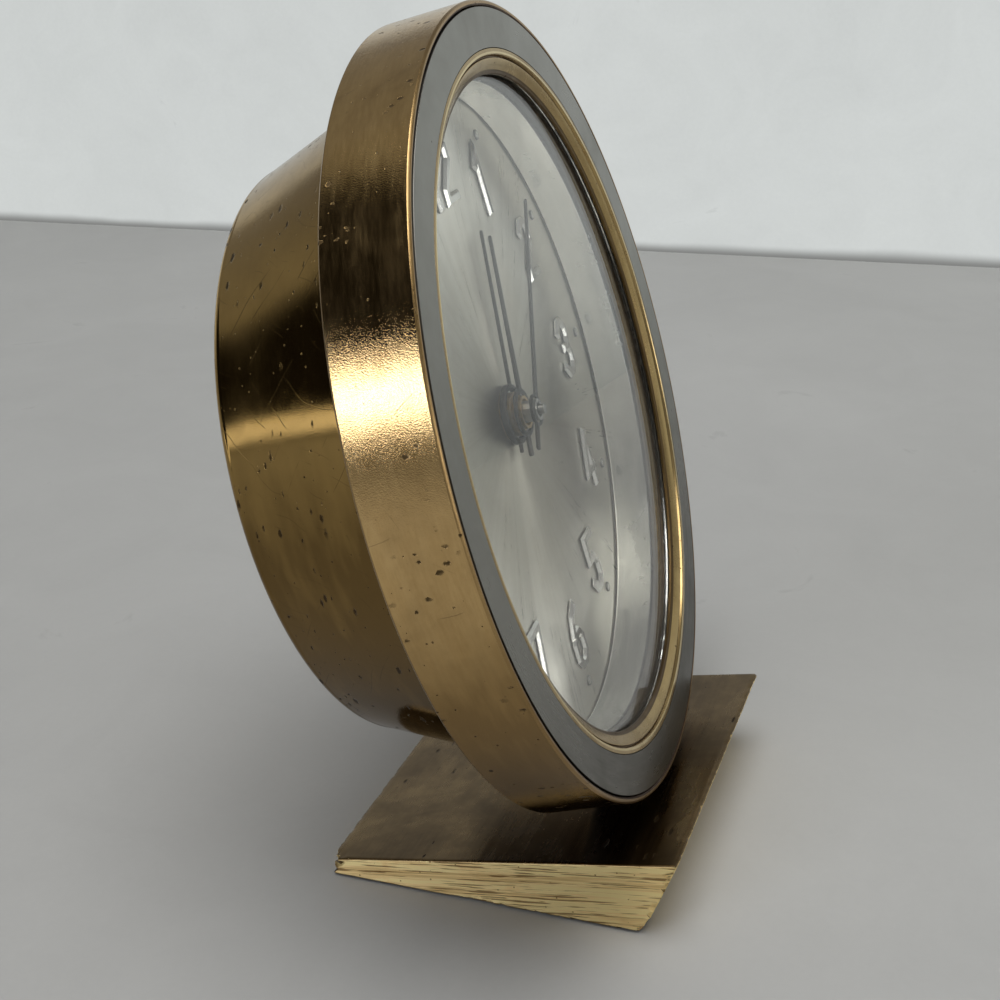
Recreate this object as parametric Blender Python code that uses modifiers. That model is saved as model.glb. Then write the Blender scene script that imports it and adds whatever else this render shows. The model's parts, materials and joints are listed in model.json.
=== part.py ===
"""Wind-up desk alarm clock: a round brass case leaning back on a solid wedge foot.

World frame: metres, +Z up, the foot stands on Z = 0 centred on the origin and the dial faces -Y.
Case frame (the empty "case_frame"): origin at the centre of the rim's front plane, +X towards
3 o'clock, +Y towards 12 o'clock, +Z out of the dial towards the reader.
"""

import math

import bmesh
import bpy
from mathutils import Matrix, Vector

MM = 0.001
OBJECT_NAME = "wind_up_alarm_clock"

# General clearances and roundness
SEAT_GAP = 0.3 * MM
RUNNING_GAP = 0.3 * MM
LARGE_STEPS = 48
MEDIUM_STEPS = 28
SMALL_STEPS = 12
SMOOTH_BELOW = math.radians(32.0)

# Wedge foot
FOOT_WIDTH = 46.5 * MM
FOOT_DEPTH = 38.1 * MM
FOOT_BACK_HEIGHT = 2.1 * MM
FOOT_WEDGE = math.radians(10.3)
FOOT_NOSE = 3.9 * MM
FOOT_TURN = math.radians(-4.0)
FOOT_BEVEL = 0.35 * MM
PAD_INSET = 2.0 * MM
PAD_THICKNESS = 1.0 * MM
PAD_PROUD = 0.2 * MM

# How the case stands on the foot
RIM_SEAT = 14.9 * MM
RIM_TILT = math.radians(5.4)
SADDLE_WIDTH = 15.0 * MM
SADDLE_LENGTH = 5.6 * MM
SADDLE_HEIGHT = 2.4 * MM
SADDLE_DEPTH = 6.1 * MM
SADDLE_GRIP = 1.0 * MM
FOOT_SCREW_WEB = 2.4 * MM
FOOT_SCREW_RADIUS = 1.1 * MM
FOOT_SCREW_HEAD_RADIUS = 2.2 * MM
FOOT_SCREW_HEAD_HEIGHT = 1.5 * MM
FOOT_SCREW_REACH = 2.8 * MM

# Rim ring and what it holds
RIM_RADIUS = 46.0 * MM
RIM_DEPTH = 9.6 * MM
RIM_LIP = 1.2 * MM
RIM_EDGE = 0.35 * MM
ANNULUS_WIDTH = 3.325 * MM
ANNULUS_RECESS = 0.35 * MM
ANNULUS_THICKNESS = 0.9 * MM
GROOVE_WIDTH = 0.4 * MM
BEZEL_WIDTH = 2.6 * MM
BEZEL_DEPTH = 1.45 * MM
BEZEL_STEP = 0.35 * MM
BEZEL_FALL = 1.0 * MM
BEZEL_FLAT = 0.45 * MM
BEZEL_RISER = 0.15 * MM
BEZEL_TOE = 0.35 * MM
BEZEL_CHAMFER = 0.1 * MM
BEZEL_BULGE_AT = 0.55
BEZEL_BULGE_FALL = 0.78
GASKET_SLEEVE = 1.7 * MM
CRYSTAL_THICKNESS = 1.25 * MM
CRYSTAL_DOME = 0.35 * MM
CRYSTAL_FLAT_EDGE = 1.7 * MM
GASKET_LAND = 0.8 * MM
REHAUT_FLARE = 0.4 * MM
REHAUT_WALL = 1.0 * MM
RIM_WEB = 0.6 * MM
RIM_WEB_WIDTH = 1.3 * MM

# Dial
DIAL_DEPTH = 9.5 * MM
DIAL_THICKNESS = 0.5 * MM
DIAL_MARGIN = 0.1 * MM
NUMERAL_INSET = 10.9 * MM
NUMERAL_HEIGHT = 8.6 * MM
NUMERAL_WIDTH = 4.6 * MM
NUMERAL_STROKE = 1.3 * MM
NUMERAL_RELIEF = 0.55 * MM
DIGIT_PITCH = 4.75 * MM
DOT_RADIUS = 0.65 * MM
DOT_INSET = 3.6 * MM
DOT_RELIEF = 0.35 * MM

# Drum and back cover
DRUM_TAPER = 6.3 * MM
DRUM_WALL = 1.0 * MM
DRUM_SPIGOT = 4.3 * MM
DRUM_CORNER = 1.1 * MM
COVER_LEDGE = 2.8 * MM
COVER_THICKNESS = 0.9 * MM
COVER_SCREW_INSET = 1.9 * MM
COVER_SCREW_ANGLES = (100.0, 220.0, 340.0)
COVER_SCREW_RADIUS = 0.7 * MM
COVER_SCREW_HEAD_RADIUS = 1.5 * MM
COVER_SCREW_HEAD_HEIGHT = 0.8 * MM
COVER_SCREW_REACH = 0.4 * MM
LEDGE_WIDTH = 4.0 * MM
LEDGE_THICKNESS = 0.7 * MM
SCREW_SLOT_WIDTH = 0.5 * MM
SCREW_SLOT_DEPTH = 0.4 * MM
COVER_HOLE_GAP = 0.5 * MM
SOUND_HOLE_RADIUS = 1.0 * MM
SOUND_HOLE_INSET = 5.2 * MM
SOUND_HOLE_COUNT = 5
SOUND_HOLE_STEP = math.radians(7.0)

# Movement plates, and the room between what is stacked behind the dial
FRONT_PLATE_ROOM = 3.4 * MM
MOTION_WORK_ROOM = 0.8 * MM
ESCAPE_WHEEL_ROOM = 1.5 * MM
COVER_ROOM = 3.1 * MM
PLATE_THICKNESS = 1.2 * MM
PILLAR_RADIUS = 1.8 * MM
PILLAR_INSET = 3.5 * MM
PIVOT_MARGIN = 2.0 * MM
PILLAR_ANGLES = (65.0, 135.0, 185.0, 275.0)

# Hands: lengths, heights in front of the dial, and angles clockwise from 12 o'clock
MINUTE_LENGTH = 28.4 * MM
MINUTE_TAIL = 5.0 * MM
MINUTE_ANGLE = math.radians(41.0)
MINUTE_HEIGHT = 3.7 * MM
HOUR_LENGTH = 21.0 * MM
HOUR_TAIL = 5.2 * MM
HOUR_ANGLE = math.radians(17.5)
HOUR_HEIGHT = 2.1 * MM
ALARM_LENGTH = 21.9 * MM
ALARM_TAIL = 4.6 * MM
ALARM_ANGLE = math.radians(18.5)
ALARM_HEIGHT = 1.1 * MM
HAND_THICKNESS = 0.35 * MM
MINUTE_HUB_RADIUS = 1.9 * MM
MINUTE_ROOT_WIDTH = 1.1 * MM
MINUTE_TIP_WIDTH = 0.6 * MM
HOUR_COLLAR = 0.9 * MM
HOUR_ROOT_WIDTH = 1.6 * MM
HOUR_TIP_WIDTH = 0.8 * MM
ALARM_ROOT_WIDTH = 0.9 * MM
ALARM_TIP_WIDTH = 0.5 * MM
PIPE_PROUD = 0.2 * MM
ALARM_HUB_RADIUS = 3.6 * MM
ALARM_HUB_THICKNESS = 0.8 * MM
ALARM_BLADE_SETBACK = 0.06 * MM

# Nested pipes round the centre arbor
ARBOR_RADIUS = 0.6 * MM
ARBOR_TIP_HEIGHT = 4.6 * MM
PIPE_WALL = 0.4 * MM
HAND_PIPE_CLEAR = 0.25 * MM

# Gearing: tooth counts, modules and the shape of a tooth
ADDENDUM = 0.62
DEDENDUM = 0.95
TOOTH_ROOT = 0.25
TOOTH_TIP = 0.10
CANNON_TEETH = 8
MINUTE_WHEEL_TEETH = 24
MINUTE_MODULE = 0.45 * MM
MINUTE_PINION_TEETH = 6
HOUR_TEETH = 24
HOUR_MODULE = MINUTE_MODULE * (CANNON_TEETH + MINUTE_WHEEL_TEETH) / (MINUTE_PINION_TEETH + HOUR_TEETH)
ALARM_TEETH = 24
ALARM_PINION_TEETH = 6
ALARM_MODULE = 0.72 * MM
CENTRE_TEETH = 36
THIRD_PINION_TEETH = 6
CENTRE_MODULE = 0.533 * MM
THIRD_TEETH = 36
ESCAPE_PINION_TEETH = 6
THIRD_MODULE = 0.40 * MM
BARREL_TEETH = 40
CENTRE_PINION_TEETH = 8
BARREL_MODULE = 0.51 * MM
ALARM_BARREL_TEETH = 30
STRIKE_PINION_TEETH = 6
ALARM_BARREL_MODULE = 0.529 * MM
ESCAPE_TEETH = 15
ESCAPE_RADIUS = 5.0 * MM
ESCAPE_TOOTH = 1.1 * MM
STRIKE_TEETH = 12
STRIKE_RADIUS = 4.0 * MM
STRIKE_TOOTH = 0.9 * MM
WHEEL_THICKNESS = 0.7 * MM
TRAIN_CLEARANCE = 1.2 * MM
ESCAPE_LIFT = 2.6 * MM
PINION_OVERLAP = 0.15 * MM
WHEEL_RIM_MODULES = 3.2
CENTRE_WHEEL_HUB = 2.2 * MM
SPOKE_WIDTH = 1.2 * MM
CENTRE_WHEEL_SPOKES = 4

# Directions of each gear pair's line of centres, anticlockwise from 3 o'clock
MINUTE_WHEEL_DIRECTION = math.radians(-65.0)
ALARM_PINION_DIRECTION = math.radians(150.0)
THIRD_DIRECTION = math.radians(80.0)
ESCAPE_DIRECTION = math.radians(20.0)
BARREL_DIRECTION = math.radians(235.0)
ALARM_BARREL_SITE = (13.5 * MM, -12.5 * MM)
STRIKE_DIRECTION = math.radians(45.0)

# Escapement and regulator
PALLET_OFFSET = 6.0 * MM
PALLET_DIRECTION = math.radians(-20.0)
PALLET_ARM_LENGTH = 3.2 * MM
PALLET_ARM_WIDTH = 0.9 * MM
PALLET_BODY = 0.7 * MM
PALLET_TOE = 0.9 * MM
PALLET_SPAN = 3.8 * MM
BALANCE_OFFSET = 7.0 * MM
BALANCE_RADIUS = 6.0 * MM
BALANCE_RIM = 0.9 * MM
BALANCE_HUB = 1.3 * MM
BALANCE_SPOKES = 2
STAFF_RADIUS = 0.4 * MM
PIVOT_RADIUS = 0.5 * MM
PIVOT_SETBACK = 0.3 * MM
HAIRSPRING_TURNS = 3.0
HAIRSPRING_WIRE = 0.12 * MM
HAIRSPRING_HEIGHT = 0.3 * MM
HAIRSPRING_RADIUS = 3.6 * MM
HAIRSPRING_LIFT = 0.5 * MM
REGULATOR_LENGTH = 8.0 * MM
REGULATOR_ANGLE = math.radians(215.0)
REGULATOR_TRAVEL = math.radians(20.0)
REGULATOR_SPARE = math.radians(7.0)
REGULATOR_PIN_RADIUS = 0.4 * MM
REGULATOR_PIN_PROUD = 1.4 * MM
REGULATOR_HUB_RADIUS = 2.0 * MM
REGULATOR_TAIL = 3.0 * MM
REGULATOR_TIP = 0.6 * MM
REGULATOR_ROOT_WIDTH = 1.4 * MM
REGULATOR_TIP_WIDTH = 1.2 * MM

# Springs in their barrels
BARREL_WALL = 0.8 * MM
BARREL_BASE = 0.7 * MM
BARREL_HEIGHT = 5.0 * MM
BARREL_TOOTH_LAND = 0.3 * MM
SPRING_PLAY = 0.1 * MM
ARBOR_SQUARE = 1.44 * MM
ARBOR_SQUARE_ROOT = 0.5 * MM
MAINSPRING_TURNS = 4.0
MAINSPRING_THICKNESS = 0.35 * MM
WINDING_ARBOR_RADIUS = 1.2 * MM

# Alarm hammer
HAMMER_PIVOT = (24.2 * MM, -12.0 * MM)
HAMMER_ARM_ANGLE = math.radians(-81.0)
HAMMER_REST_GAP = 1.5 * MM
HAMMER_HEAD_RADIUS = 1.5 * MM
HAMMER_TAIL = 2.6 * MM
HAMMER_ARM_WIDTH = 0.9 * MM
HAMMER_TAIL_TAPER = 0.6
HAMMER_HEAD_LENGTH = 3.7 * MM
HAMMER_HEAD_LAP = 0.2 * MM

# Controls on the back
KEY_WING = 6.6 * MM
KEY_HEIGHT = 7.6 * MM
KEY_HUB_RADIUS = 2.3 * MM
KEY_SOCKET_DEPTH = 2.6 * MM
KEY_CAP = 0.6 * MM
KEY_THICKNESS = 1.5 * MM
KEY_GAP = 0.5 * MM
KEY_WING_START = 1.2 * MM
KEY_WING_LAP = 0.3 * MM
KEY_WING_LEAN = 0.32
KEY_WING_NOTCH = 0.45
HAND_KNOB_RADIUS = 4.1 * MM
ALARM_KNOB_RADIUS = 3.9 * MM
KNOB_HEIGHT = 3.6 * MM
KNOB_GAP = 0.6 * MM
KNOB_BORE_SHARE = 0.6
KNOB_FLUTES = 12
KNOB_FLUTE_DEPTH = 0.25 * MM
STOP_SITE = (15.5 * MM, -1.5 * MM)
STOP_RADIUS = 2.4 * MM
STOP_HEIGHT = 3.0 * MM
STOP_ROD_RADIUS = 0.8 * MM
STOP_ROD_REACH = 2.9 * MM
STOP_EDGE = 0.5 * MM

# Derived radii, from the rim inwards
LIP_INNER = RIM_RADIUS - RIM_LIP
GROOVE_OUTER = LIP_INNER - RIM_EDGE / 2
ANNULUS_OUTER = GROOVE_OUTER - GROOVE_WIDTH
ANNULUS_INNER = ANNULUS_OUTER - ANNULUS_WIDTH
BEZEL_OUTER = ANNULUS_INNER - SEAT_GAP
BEZEL_INNER = BEZEL_OUTER - BEZEL_WIDTH
CRYSTAL_RADIUS = BEZEL_OUTER - GASKET_SLEEVE - SEAT_GAP
CRYSTAL_DOME_RADIUS = CRYSTAL_RADIUS - CRYSTAL_FLAT_EDGE
REHAUT_FRONT = BEZEL_INNER
REHAUT_BACK = REHAUT_FRONT + REHAUT_FLARE
REHAUT_OUTER = REHAUT_FRONT + REHAUT_WALL
RIM_WEB_INNER = ANNULUS_INNER - RIM_WEB_WIDTH
DIAL_RADIUS = REHAUT_OUTER - DIAL_MARGIN
NUMERAL_RADIUS = DIAL_RADIUS - NUMERAL_INSET
DOT_CIRCLE = DIAL_RADIUS - DOT_INSET
DRUM_FRONT_RADIUS = ANNULUS_INNER - 2 * SEAT_GAP
DRUM_REAR_RADIUS = DRUM_FRONT_RADIUS - DRUM_TAPER
COVER_RADIUS = DRUM_REAR_RADIUS - COVER_LEDGE
COVER_SCREW_CIRCLE = COVER_RADIUS - COVER_SCREW_INSET
SOUND_HOLE_CIRCLE = COVER_RADIUS - SOUND_HOLE_INSET
FRONT_PLATE_RADIUS = DRUM_FRONT_RADIUS - FRONT_PLATE_ROOM

# Derived depths (distances behind the rim's front plane)
ANNULUS_BACK = ANNULUS_RECESS + ANNULUS_THICKNESS
ANNULUS_SEAT = ANNULUS_BACK + SEAT_GAP
CRYSTAL_FRONT = BEZEL_DEPTH + SEAT_GAP
CRYSTAL_BACK = CRYSTAL_FRONT + CRYSTAL_THICKNESS
GASKET_SHELF = CRYSTAL_BACK + SEAT_GAP
GASKET_BACK = GASKET_SHELF + GASKET_LAND
WEB_FRONT = GASKET_BACK + SEAT_GAP
WEB_BACK = WEB_FRONT + RIM_WEB
DIAL_BACK = DIAL_DEPTH + DIAL_THICKNESS
REHAUT_DEPTH = DIAL_DEPTH - SEAT_GAP
DRUM_FRONT = WEB_BACK + SEAT_GAP
DRUM_SEAM = RIM_DEPTH + SEAT_GAP
MINUTE_DEPTH = DIAL_DEPTH - MINUTE_HEIGHT
HOUR_DEPTH = DIAL_DEPTH - HOUR_HEIGHT
ALARM_DEPTH = DIAL_DEPTH - ALARM_HEIGHT
ARBOR_TIP_DEPTH = DIAL_DEPTH - ARBOR_TIP_HEIGHT
LAYER_PITCH = WHEEL_THICKNESS + SEAT_GAP
ALARM_LAYER = DIAL_BACK + SEAT_GAP
HOUR_LAYER = ALARM_LAYER + LAYER_PITCH
MINUTE_LAYER = HOUR_LAYER + LAYER_PITCH
FRONT_PLATE_DEPTH = MINUTE_LAYER + WHEEL_THICKNESS + MOTION_WORK_ROOM
FRONT_PLATE_BACK = FRONT_PLATE_DEPTH + PLATE_THICKNESS
CENTRE_LAYER = FRONT_PLATE_BACK + TRAIN_CLEARANCE
BARREL_LAYER = CENTRE_LAYER + LAYER_PITCH
THIRD_LAYER = BARREL_LAYER + 2 * LAYER_PITCH
ESCAPE_LAYER = THIRD_LAYER + ESCAPE_LIFT
BALANCE_LAYER = CENTRE_LAYER + 2 * LAYER_PITCH
STRIKE_LAYER = CENTRE_LAYER
REAR_PLATE_DEPTH = ESCAPE_LAYER + WHEEL_THICKNESS + ESCAPE_WHEEL_ROOM
REAR_PLATE_BACK = REAR_PLATE_DEPTH + PLATE_THICKNESS
DRUM_REAR = REAR_PLATE_BACK + COVER_ROOM
DRUM_LENGTH = DRUM_REAR - RIM_DEPTH
COVER_FRONT = DRUM_REAR - COVER_THICKNESS
LEDGE_BACK = COVER_FRONT - SEAT_GAP
LEDGE_FRONT = LEDGE_BACK - LEDGE_THICKNESS

# Derived bores and pipes, from the centre arbor outwards
CANNON_BORE = ARBOR_RADIUS + RUNNING_GAP
CANNON_OUTER = CANNON_BORE + PIPE_WALL
HOUR_BORE = CANNON_OUTER + RUNNING_GAP
HOUR_OUTER = HOUR_BORE + PIPE_WALL
ALARM_BORE = HOUR_OUTER + RUNNING_GAP
ALARM_OUTER = ALARM_BORE + PIPE_WALL
DIAL_HOLE = ALARM_OUTER + RUNNING_GAP


def polar(radius, angle):
    """Point at this radius and anticlockwise angle from +X."""
    return Vector((radius * math.cos(angle), radius * math.sin(angle)))


def pair_distance(module, teeth_a, teeth_b):
    """Distance between the axes of two meshed gears."""
    return module * (teeth_a + teeth_b) / 2


def drum_inner_radius(depth):
    """Inner radius of the tapered drum wall at a depth."""
    return DRUM_FRONT_RADIUS - DRUM_WALL - DRUM_TAPER / DRUM_LENGTH * (depth - DRUM_SEAM)


def hammer_arm_length():
    """Length of the hammer's arm that leaves its head the rest gap from the drum's wall."""
    head_back = STRIKE_LAYER - HAMMER_HEAD_LAP + HAMMER_HEAD_LENGTH
    head_circle = drum_inner_radius(head_back) - HAMMER_HEAD_RADIUS - HAMMER_REST_GAP
    along = HAMMER_SITE.dot(polar(1.0, HAMMER_ARM_ANGLE))
    return math.sqrt(along**2 - HAMMER_SITE.length_squared + head_circle**2) - along


CENTRE = Vector((0.0, 0.0))
MINUTE_SITE = polar(pair_distance(MINUTE_MODULE, CANNON_TEETH, MINUTE_WHEEL_TEETH), MINUTE_WHEEL_DIRECTION)
ALARM_SET_SITE = polar(pair_distance(ALARM_MODULE, ALARM_TEETH, ALARM_PINION_TEETH), ALARM_PINION_DIRECTION)
THIRD_SITE = polar(pair_distance(CENTRE_MODULE, CENTRE_TEETH, THIRD_PINION_TEETH), THIRD_DIRECTION)
ESCAPE_SITE = THIRD_SITE + polar(
    pair_distance(THIRD_MODULE, THIRD_TEETH, ESCAPE_PINION_TEETH), ESCAPE_DIRECTION
)
BARREL_SITE = polar(pair_distance(BARREL_MODULE, BARREL_TEETH, CENTRE_PINION_TEETH), BARREL_DIRECTION)
ALARM_SITE = Vector(ALARM_BARREL_SITE)
STRIKE_SITE = ALARM_SITE + polar(
    pair_distance(ALARM_BARREL_MODULE, ALARM_BARREL_TEETH, STRIKE_PINION_TEETH), STRIKE_DIRECTION
)
PALLET_SITE = ESCAPE_SITE + polar(PALLET_OFFSET, PALLET_DIRECTION)
BALANCE_SITE = PALLET_SITE + polar(BALANCE_OFFSET, PALLET_DIRECTION)
HAMMER_SITE = Vector(HAMMER_PIVOT)
STOP_POINT = Vector(STOP_SITE)
REAR_PLATE_RADIUS = HAMMER_SITE.length + PIVOT_MARGIN
PILLAR_CIRCLE = REAR_PLATE_RADIUS - PILLAR_INSET


# Scene

def clear_scene():
    """Removes every object that is in the file."""
    for obj in list(bpy.data.objects):
        bpy.data.objects.remove(obj, do_unlink=True)


def new_collection(name):
    """A collection linked to the scene."""
    made = bpy.data.collections.new(name)
    bpy.context.scene.collection.children.link(made)
    return made


def empty(name, matrix, collection):
    """A frame that parts are parented to."""
    frame = bpy.data.objects.new(name, None)
    frame.matrix_world = matrix
    collection.objects.link(frame)
    return frame


def make_material(name, colour, roughness, metallic, alpha=1.0):
    """A Principled material."""
    material = bpy.data.materials.new(name)
    material.use_nodes = True
    shader = material.node_tree.nodes["Principled BSDF"]
    shader.inputs["Base Color"].default_value = (*colour, 1.0)
    shader.inputs["Roughness"].default_value = roughness
    shader.inputs["Metallic"].default_value = metallic
    shader.inputs["Alpha"].default_value = alpha
    material.diffuse_color = (*colour, alpha)
    material.roughness = roughness
    material.metallic = metallic
    return material


def foot_corners():
    """Front bottom, back bottom, back top and front top corners of the wedge, as (y, z)."""
    half = FOOT_DEPTH / 2
    back_top_y = half + FOOT_BACK_HEIGHT * math.sin(FOOT_WEDGE)
    back_top_z = PAD_PROUD + FOOT_BACK_HEIGHT * math.cos(FOOT_WEDGE)
    front_top_y = -half - FOOT_NOSE
    front_top_z = back_top_z + (back_top_y - front_top_y) * math.tan(FOOT_WEDGE)
    return (
        Vector((-half, PAD_PROUD)),
        Vector((half, PAD_PROUD)),
        Vector((back_top_y, back_top_z)),
        Vector((front_top_y, front_top_z)),
    )


def case_matrix():
    """World matrix of the case frame: the rim's rear edge rests just above the foot's top face."""
    lean = FOOT_WEDGE + RIM_TILT
    turn = Matrix.Rotation(math.pi / 2 - lean, 4, "X")
    front_top = foot_corners()[3]
    along = Vector((0.0, math.cos(FOOT_WEDGE), -math.sin(FOOT_WEDGE)))
    normal = Vector((0.0, math.sin(FOOT_WEDGE), math.cos(FOOT_WEDGE)))
    seat = Vector((0.0, *front_top)) + along * RIM_SEAT + normal * SEAT_GAP
    rim_rear_bottom = Vector((0.0, -RIM_RADIUS, -RIM_DEPTH))
    return Matrix.Translation(seat - turn @ rim_rear_bottom) @ turn


class Workshop:
    """Holds the collections and frames, and makes the objects."""

    def __init__(self):
        self.parts = new_collection(OBJECT_NAME)
        self.cutters = new_collection("cutters")
        self.foot = empty("foot_frame", Matrix.Rotation(FOOT_TURN, 4, "Z"), self.parts)
        self.case = empty("case_frame", case_matrix(), self.parts)

    def place(self, name, mesh, material, at=CENTRE, frame=None):
        """An object with this mesh, at a point of its frame; with no material it is a cutter."""
        obj = bpy.data.objects.new(name, mesh)
        obj.parent = frame or self.case
        obj.location = (at[0], at[1], 0.0)
        if material is None:
            self.cutters.objects.link(obj)
            obj.hide_render = True
            obj.display_type = "WIRE"
        else:
            self.parts.objects.link(obj)
            mesh.materials.append(material)
        return obj

    def baked(self, guide):
        """Mesh of a guide object with its modifiers or curve settings applied; the guide is removed."""
        self.cutters.objects.link(guide)
        bpy.context.view_layer.update()
        graph = bpy.context.evaluated_depsgraph_get()
        mesh = bpy.data.meshes.new_from_object(guide.evaluated_get(graph))
        self.cutters.objects.unlink(guide)
        bpy.data.objects.remove(guide)
        weld(mesh)
        mesh.shade_smooth()
        mesh.set_sharp_from_angle(angle=SMOOTH_BELOW)
        return mesh

    def turned(self, name, profile, material, at=CENTRE, steps=MEDIUM_STEPS, ring=True):
        """Solid of revolution about the frame's Z: the profile runs down its outer side first."""
        line = bpy.data.meshes.new(name)
        count = len(profile)
        edges = [(i, i + 1) for i in range(count - 1)]
        if ring:
            edges.append((count - 1, 0))
        line.from_pydata([(radius, 0.0, z) for radius, z in profile], edges, [])
        guide = bpy.data.objects.new(name, line)
        screw = guide.modifiers.new("Turn", "SCREW")
        screw.steps = steps
        screw.render_steps = steps
        screw.use_merge_vertices = True
        screw.merge_threshold = 1e-6
        return self.place(name, self.baked(guide), material, at)

    def plate(self, name, outlines, depth, thickness, material, at=CENTRE, frame=None):
        """Flat piece cut to closed outlines; its front face lies at this depth."""
        curve = bpy.data.curves.new(name, "CURVE")
        curve.dimensions = "2D"
        curve.fill_mode = "BOTH"
        curve.extrude = thickness / 2
        for outline in outlines:
            spline = curve.splines.new("POLY")
            spline.points.add(len(outline) - 1)
            for point, (x, y) in zip(spline.points, outline):
                point.co = (x, y, 0.0, 1.0)
            spline.use_cyclic_u = True
        guide = bpy.data.objects.new(name, curve)
        mesh = self.baked(guide)
        mesh.transform(Matrix.Translation((0.0, 0.0, -depth - thickness / 2)))
        return self.place(name, mesh, material, at, frame)

    def cylinder(self, name, radius, front, back, material, at=CENTRE, steps=SMALL_STEPS):
        """Round bar along the frame's Z, between two depths."""
        shape = bmesh.new()
        bmesh.ops.create_cone(
            shape, cap_ends=True, segments=steps, radius1=radius, radius2=radius, depth=back - front
        )
        bmesh.ops.translate(shape, verts=shape.verts, vec=(0.0, 0.0, -(front + back) / 2))
        mesh = bpy.data.meshes.new(name)
        shape.to_mesh(mesh)
        shape.free()
        mesh.shade_smooth()
        mesh.set_sharp_from_angle(angle=SMOOTH_BELOW)
        return self.place(name, mesh, material, at)

    def box(self, name, size, centre, material, frame=None):
        """Rectangular block."""
        shape = bmesh.new()
        bmesh.ops.create_cube(shape, size=1.0)
        bmesh.ops.scale(shape, verts=shape.verts, vec=size)
        bmesh.ops.translate(shape, verts=shape.verts, vec=centre)
        mesh = bpy.data.meshes.new(name)
        shape.to_mesh(mesh)
        shape.free()
        return self.place(name, mesh, material, frame=frame)

    def boolean(self, target, tool, operation):
        """Adds a Boolean between two objects."""
        modifier = target.modifiers.new(f"{operation}_{tool.name}", "BOOLEAN")
        modifier.operation = operation
        modifier.solver = "EXACT"
        modifier.object = tool

    def cut(self, target, *tools):
        """Takes each tool's volume from the target."""
        for tool in tools:
            self.boolean(target, tool, "DIFFERENCE")

    def join(self, target, *tools):
        """Adds each tool's volume to the target."""
        for tool in tools:
            self.boolean(target, tool, "UNION")


def weld(mesh):
    """Joins the loose caps and seams of a made mesh and turns its faces outwards."""
    shape = bmesh.new()
    shape.from_mesh(mesh)
    bmesh.ops.remove_doubles(shape, verts=shape.verts, dist=1e-7)
    bmesh.ops.recalc_face_normals(shape, faces=shape.faces)
    shape.to_mesh(mesh)
    shape.free()


# Outlines

def circle(radius, steps=SMALL_STEPS, centre=CENTRE, phase=0.0):
    """Points of a circle."""
    turn = 2 * math.pi / steps
    return [tuple(Vector(centre) + polar(radius, phase + i * turn)) for i in range(steps)]


def gear(module, teeth, phase=0.0):
    """Outline of a gear with trapezoid teeth, the first tooth at this phase angle."""
    pitch = 2 * math.pi / teeth
    root = module * (teeth / 2 - DEDENDUM)
    tip = module * (teeth / 2 + ADDENDUM)
    outline = []
    for i in range(teeth):
        middle = phase + i * pitch
        outline.append(tuple(polar(root, middle - TOOTH_ROOT * pitch)))
        outline.append(tuple(polar(tip, middle - TOOTH_TIP * pitch)))
        outline.append(tuple(polar(tip, middle + TOOTH_TIP * pitch)))
        outline.append(tuple(polar(root, middle + TOOTH_ROOT * pitch)))
    return outline


def meshed_phase(direction, driver_teeth, driver_phase, teeth):
    """Phase that puts a gap of the second gear on the first gear's tooth at the line of centres."""
    driver_pitch = 2 * math.pi / driver_teeth
    tooth = ((direction - driver_phase) / driver_pitch) % 1.0
    return direction + math.pi - 2 * math.pi / teeth * (0.5 - tooth)


def ratchet(radius, depth, teeth):
    """Outline of a wheel with one-sided pointed teeth."""
    pitch = 2 * math.pi / teeth
    outline = []
    for i in range(teeth):
        outline.append(tuple(polar(radius, i * pitch)))
        outline.append(tuple(polar(radius - depth, (i + 0.22) * pitch)))
        outline.append(tuple(polar(radius - depth, (i + 0.72) * pitch)))
    return outline


def fluted(radius, depth, flutes):
    """Outline of a knurled knob."""
    turn = 2 * math.pi / flutes
    outline = []
    for i in range(flutes):
        outline.append(tuple(polar(radius, (i + 0.20) * turn)))
        outline.append(tuple(polar(radius, (i + 0.55) * turn)))
        outline.append(tuple(polar(radius - depth, (i + 0.75) * turn)))
        outline.append(tuple(polar(radius - depth, (i + 1.00) * turn)))
    return outline


def turned_outline(points, angle):
    """Points turned clockwise about the origin."""
    spin = Matrix.Rotation(-angle, 2)
    return [tuple(spin @ Vector(point)) for point in points]


def hand(length, tail, hub, root, tip, angle):
    """Outline of a slim tapered hand with a round hub and a tail, pointing at a clock angle."""
    steps = 5
    top = math.acos(root / 2 / hub)
    right = [(tip / 2, length)]
    right += [tuple(polar(hub, top - 2 * top * i / steps)) for i in range(steps + 1)]
    right.append((root / 2, -tail))
    left = [(-x, y) for x, y in reversed(right)]
    return turned_outline(right + left, angle)


def stroke(points, width):
    """Outlines of a bar of constant width along a line of points, with mitred corners.

    An open line has square ends and one outline; a line that returns to its start has two.
    """
    line = [Vector(point) for point in points]
    closed = points[0] == points[-1]
    if closed:
        line.pop()
    last = len(line) - 1
    left, right = [], []
    for i, point in enumerate(line):
        before = (point - line[i - 1]).normalized() if i or closed else None
        after = (line[(i + 1) % len(line)] - point).normalized() if i < last or closed else None
        first = before or after
        second = after or before
        bisector = Vector((-first.y - second.y, first.x + second.x)).normalized()
        reach = width / 2 / max(0.3, bisector.dot(Vector((-first.y, first.x))))
        end = Vector((0.0, 0.0))
        if before is None:
            end = -after * width / 2
        if after is None:
            end = before * width / 2
        left.append(tuple(point + bisector * reach + end))
        right.append(tuple(point - bisector * reach + end))
    if closed:
        return [left, right]
    return [left + right[::-1]]


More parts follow.
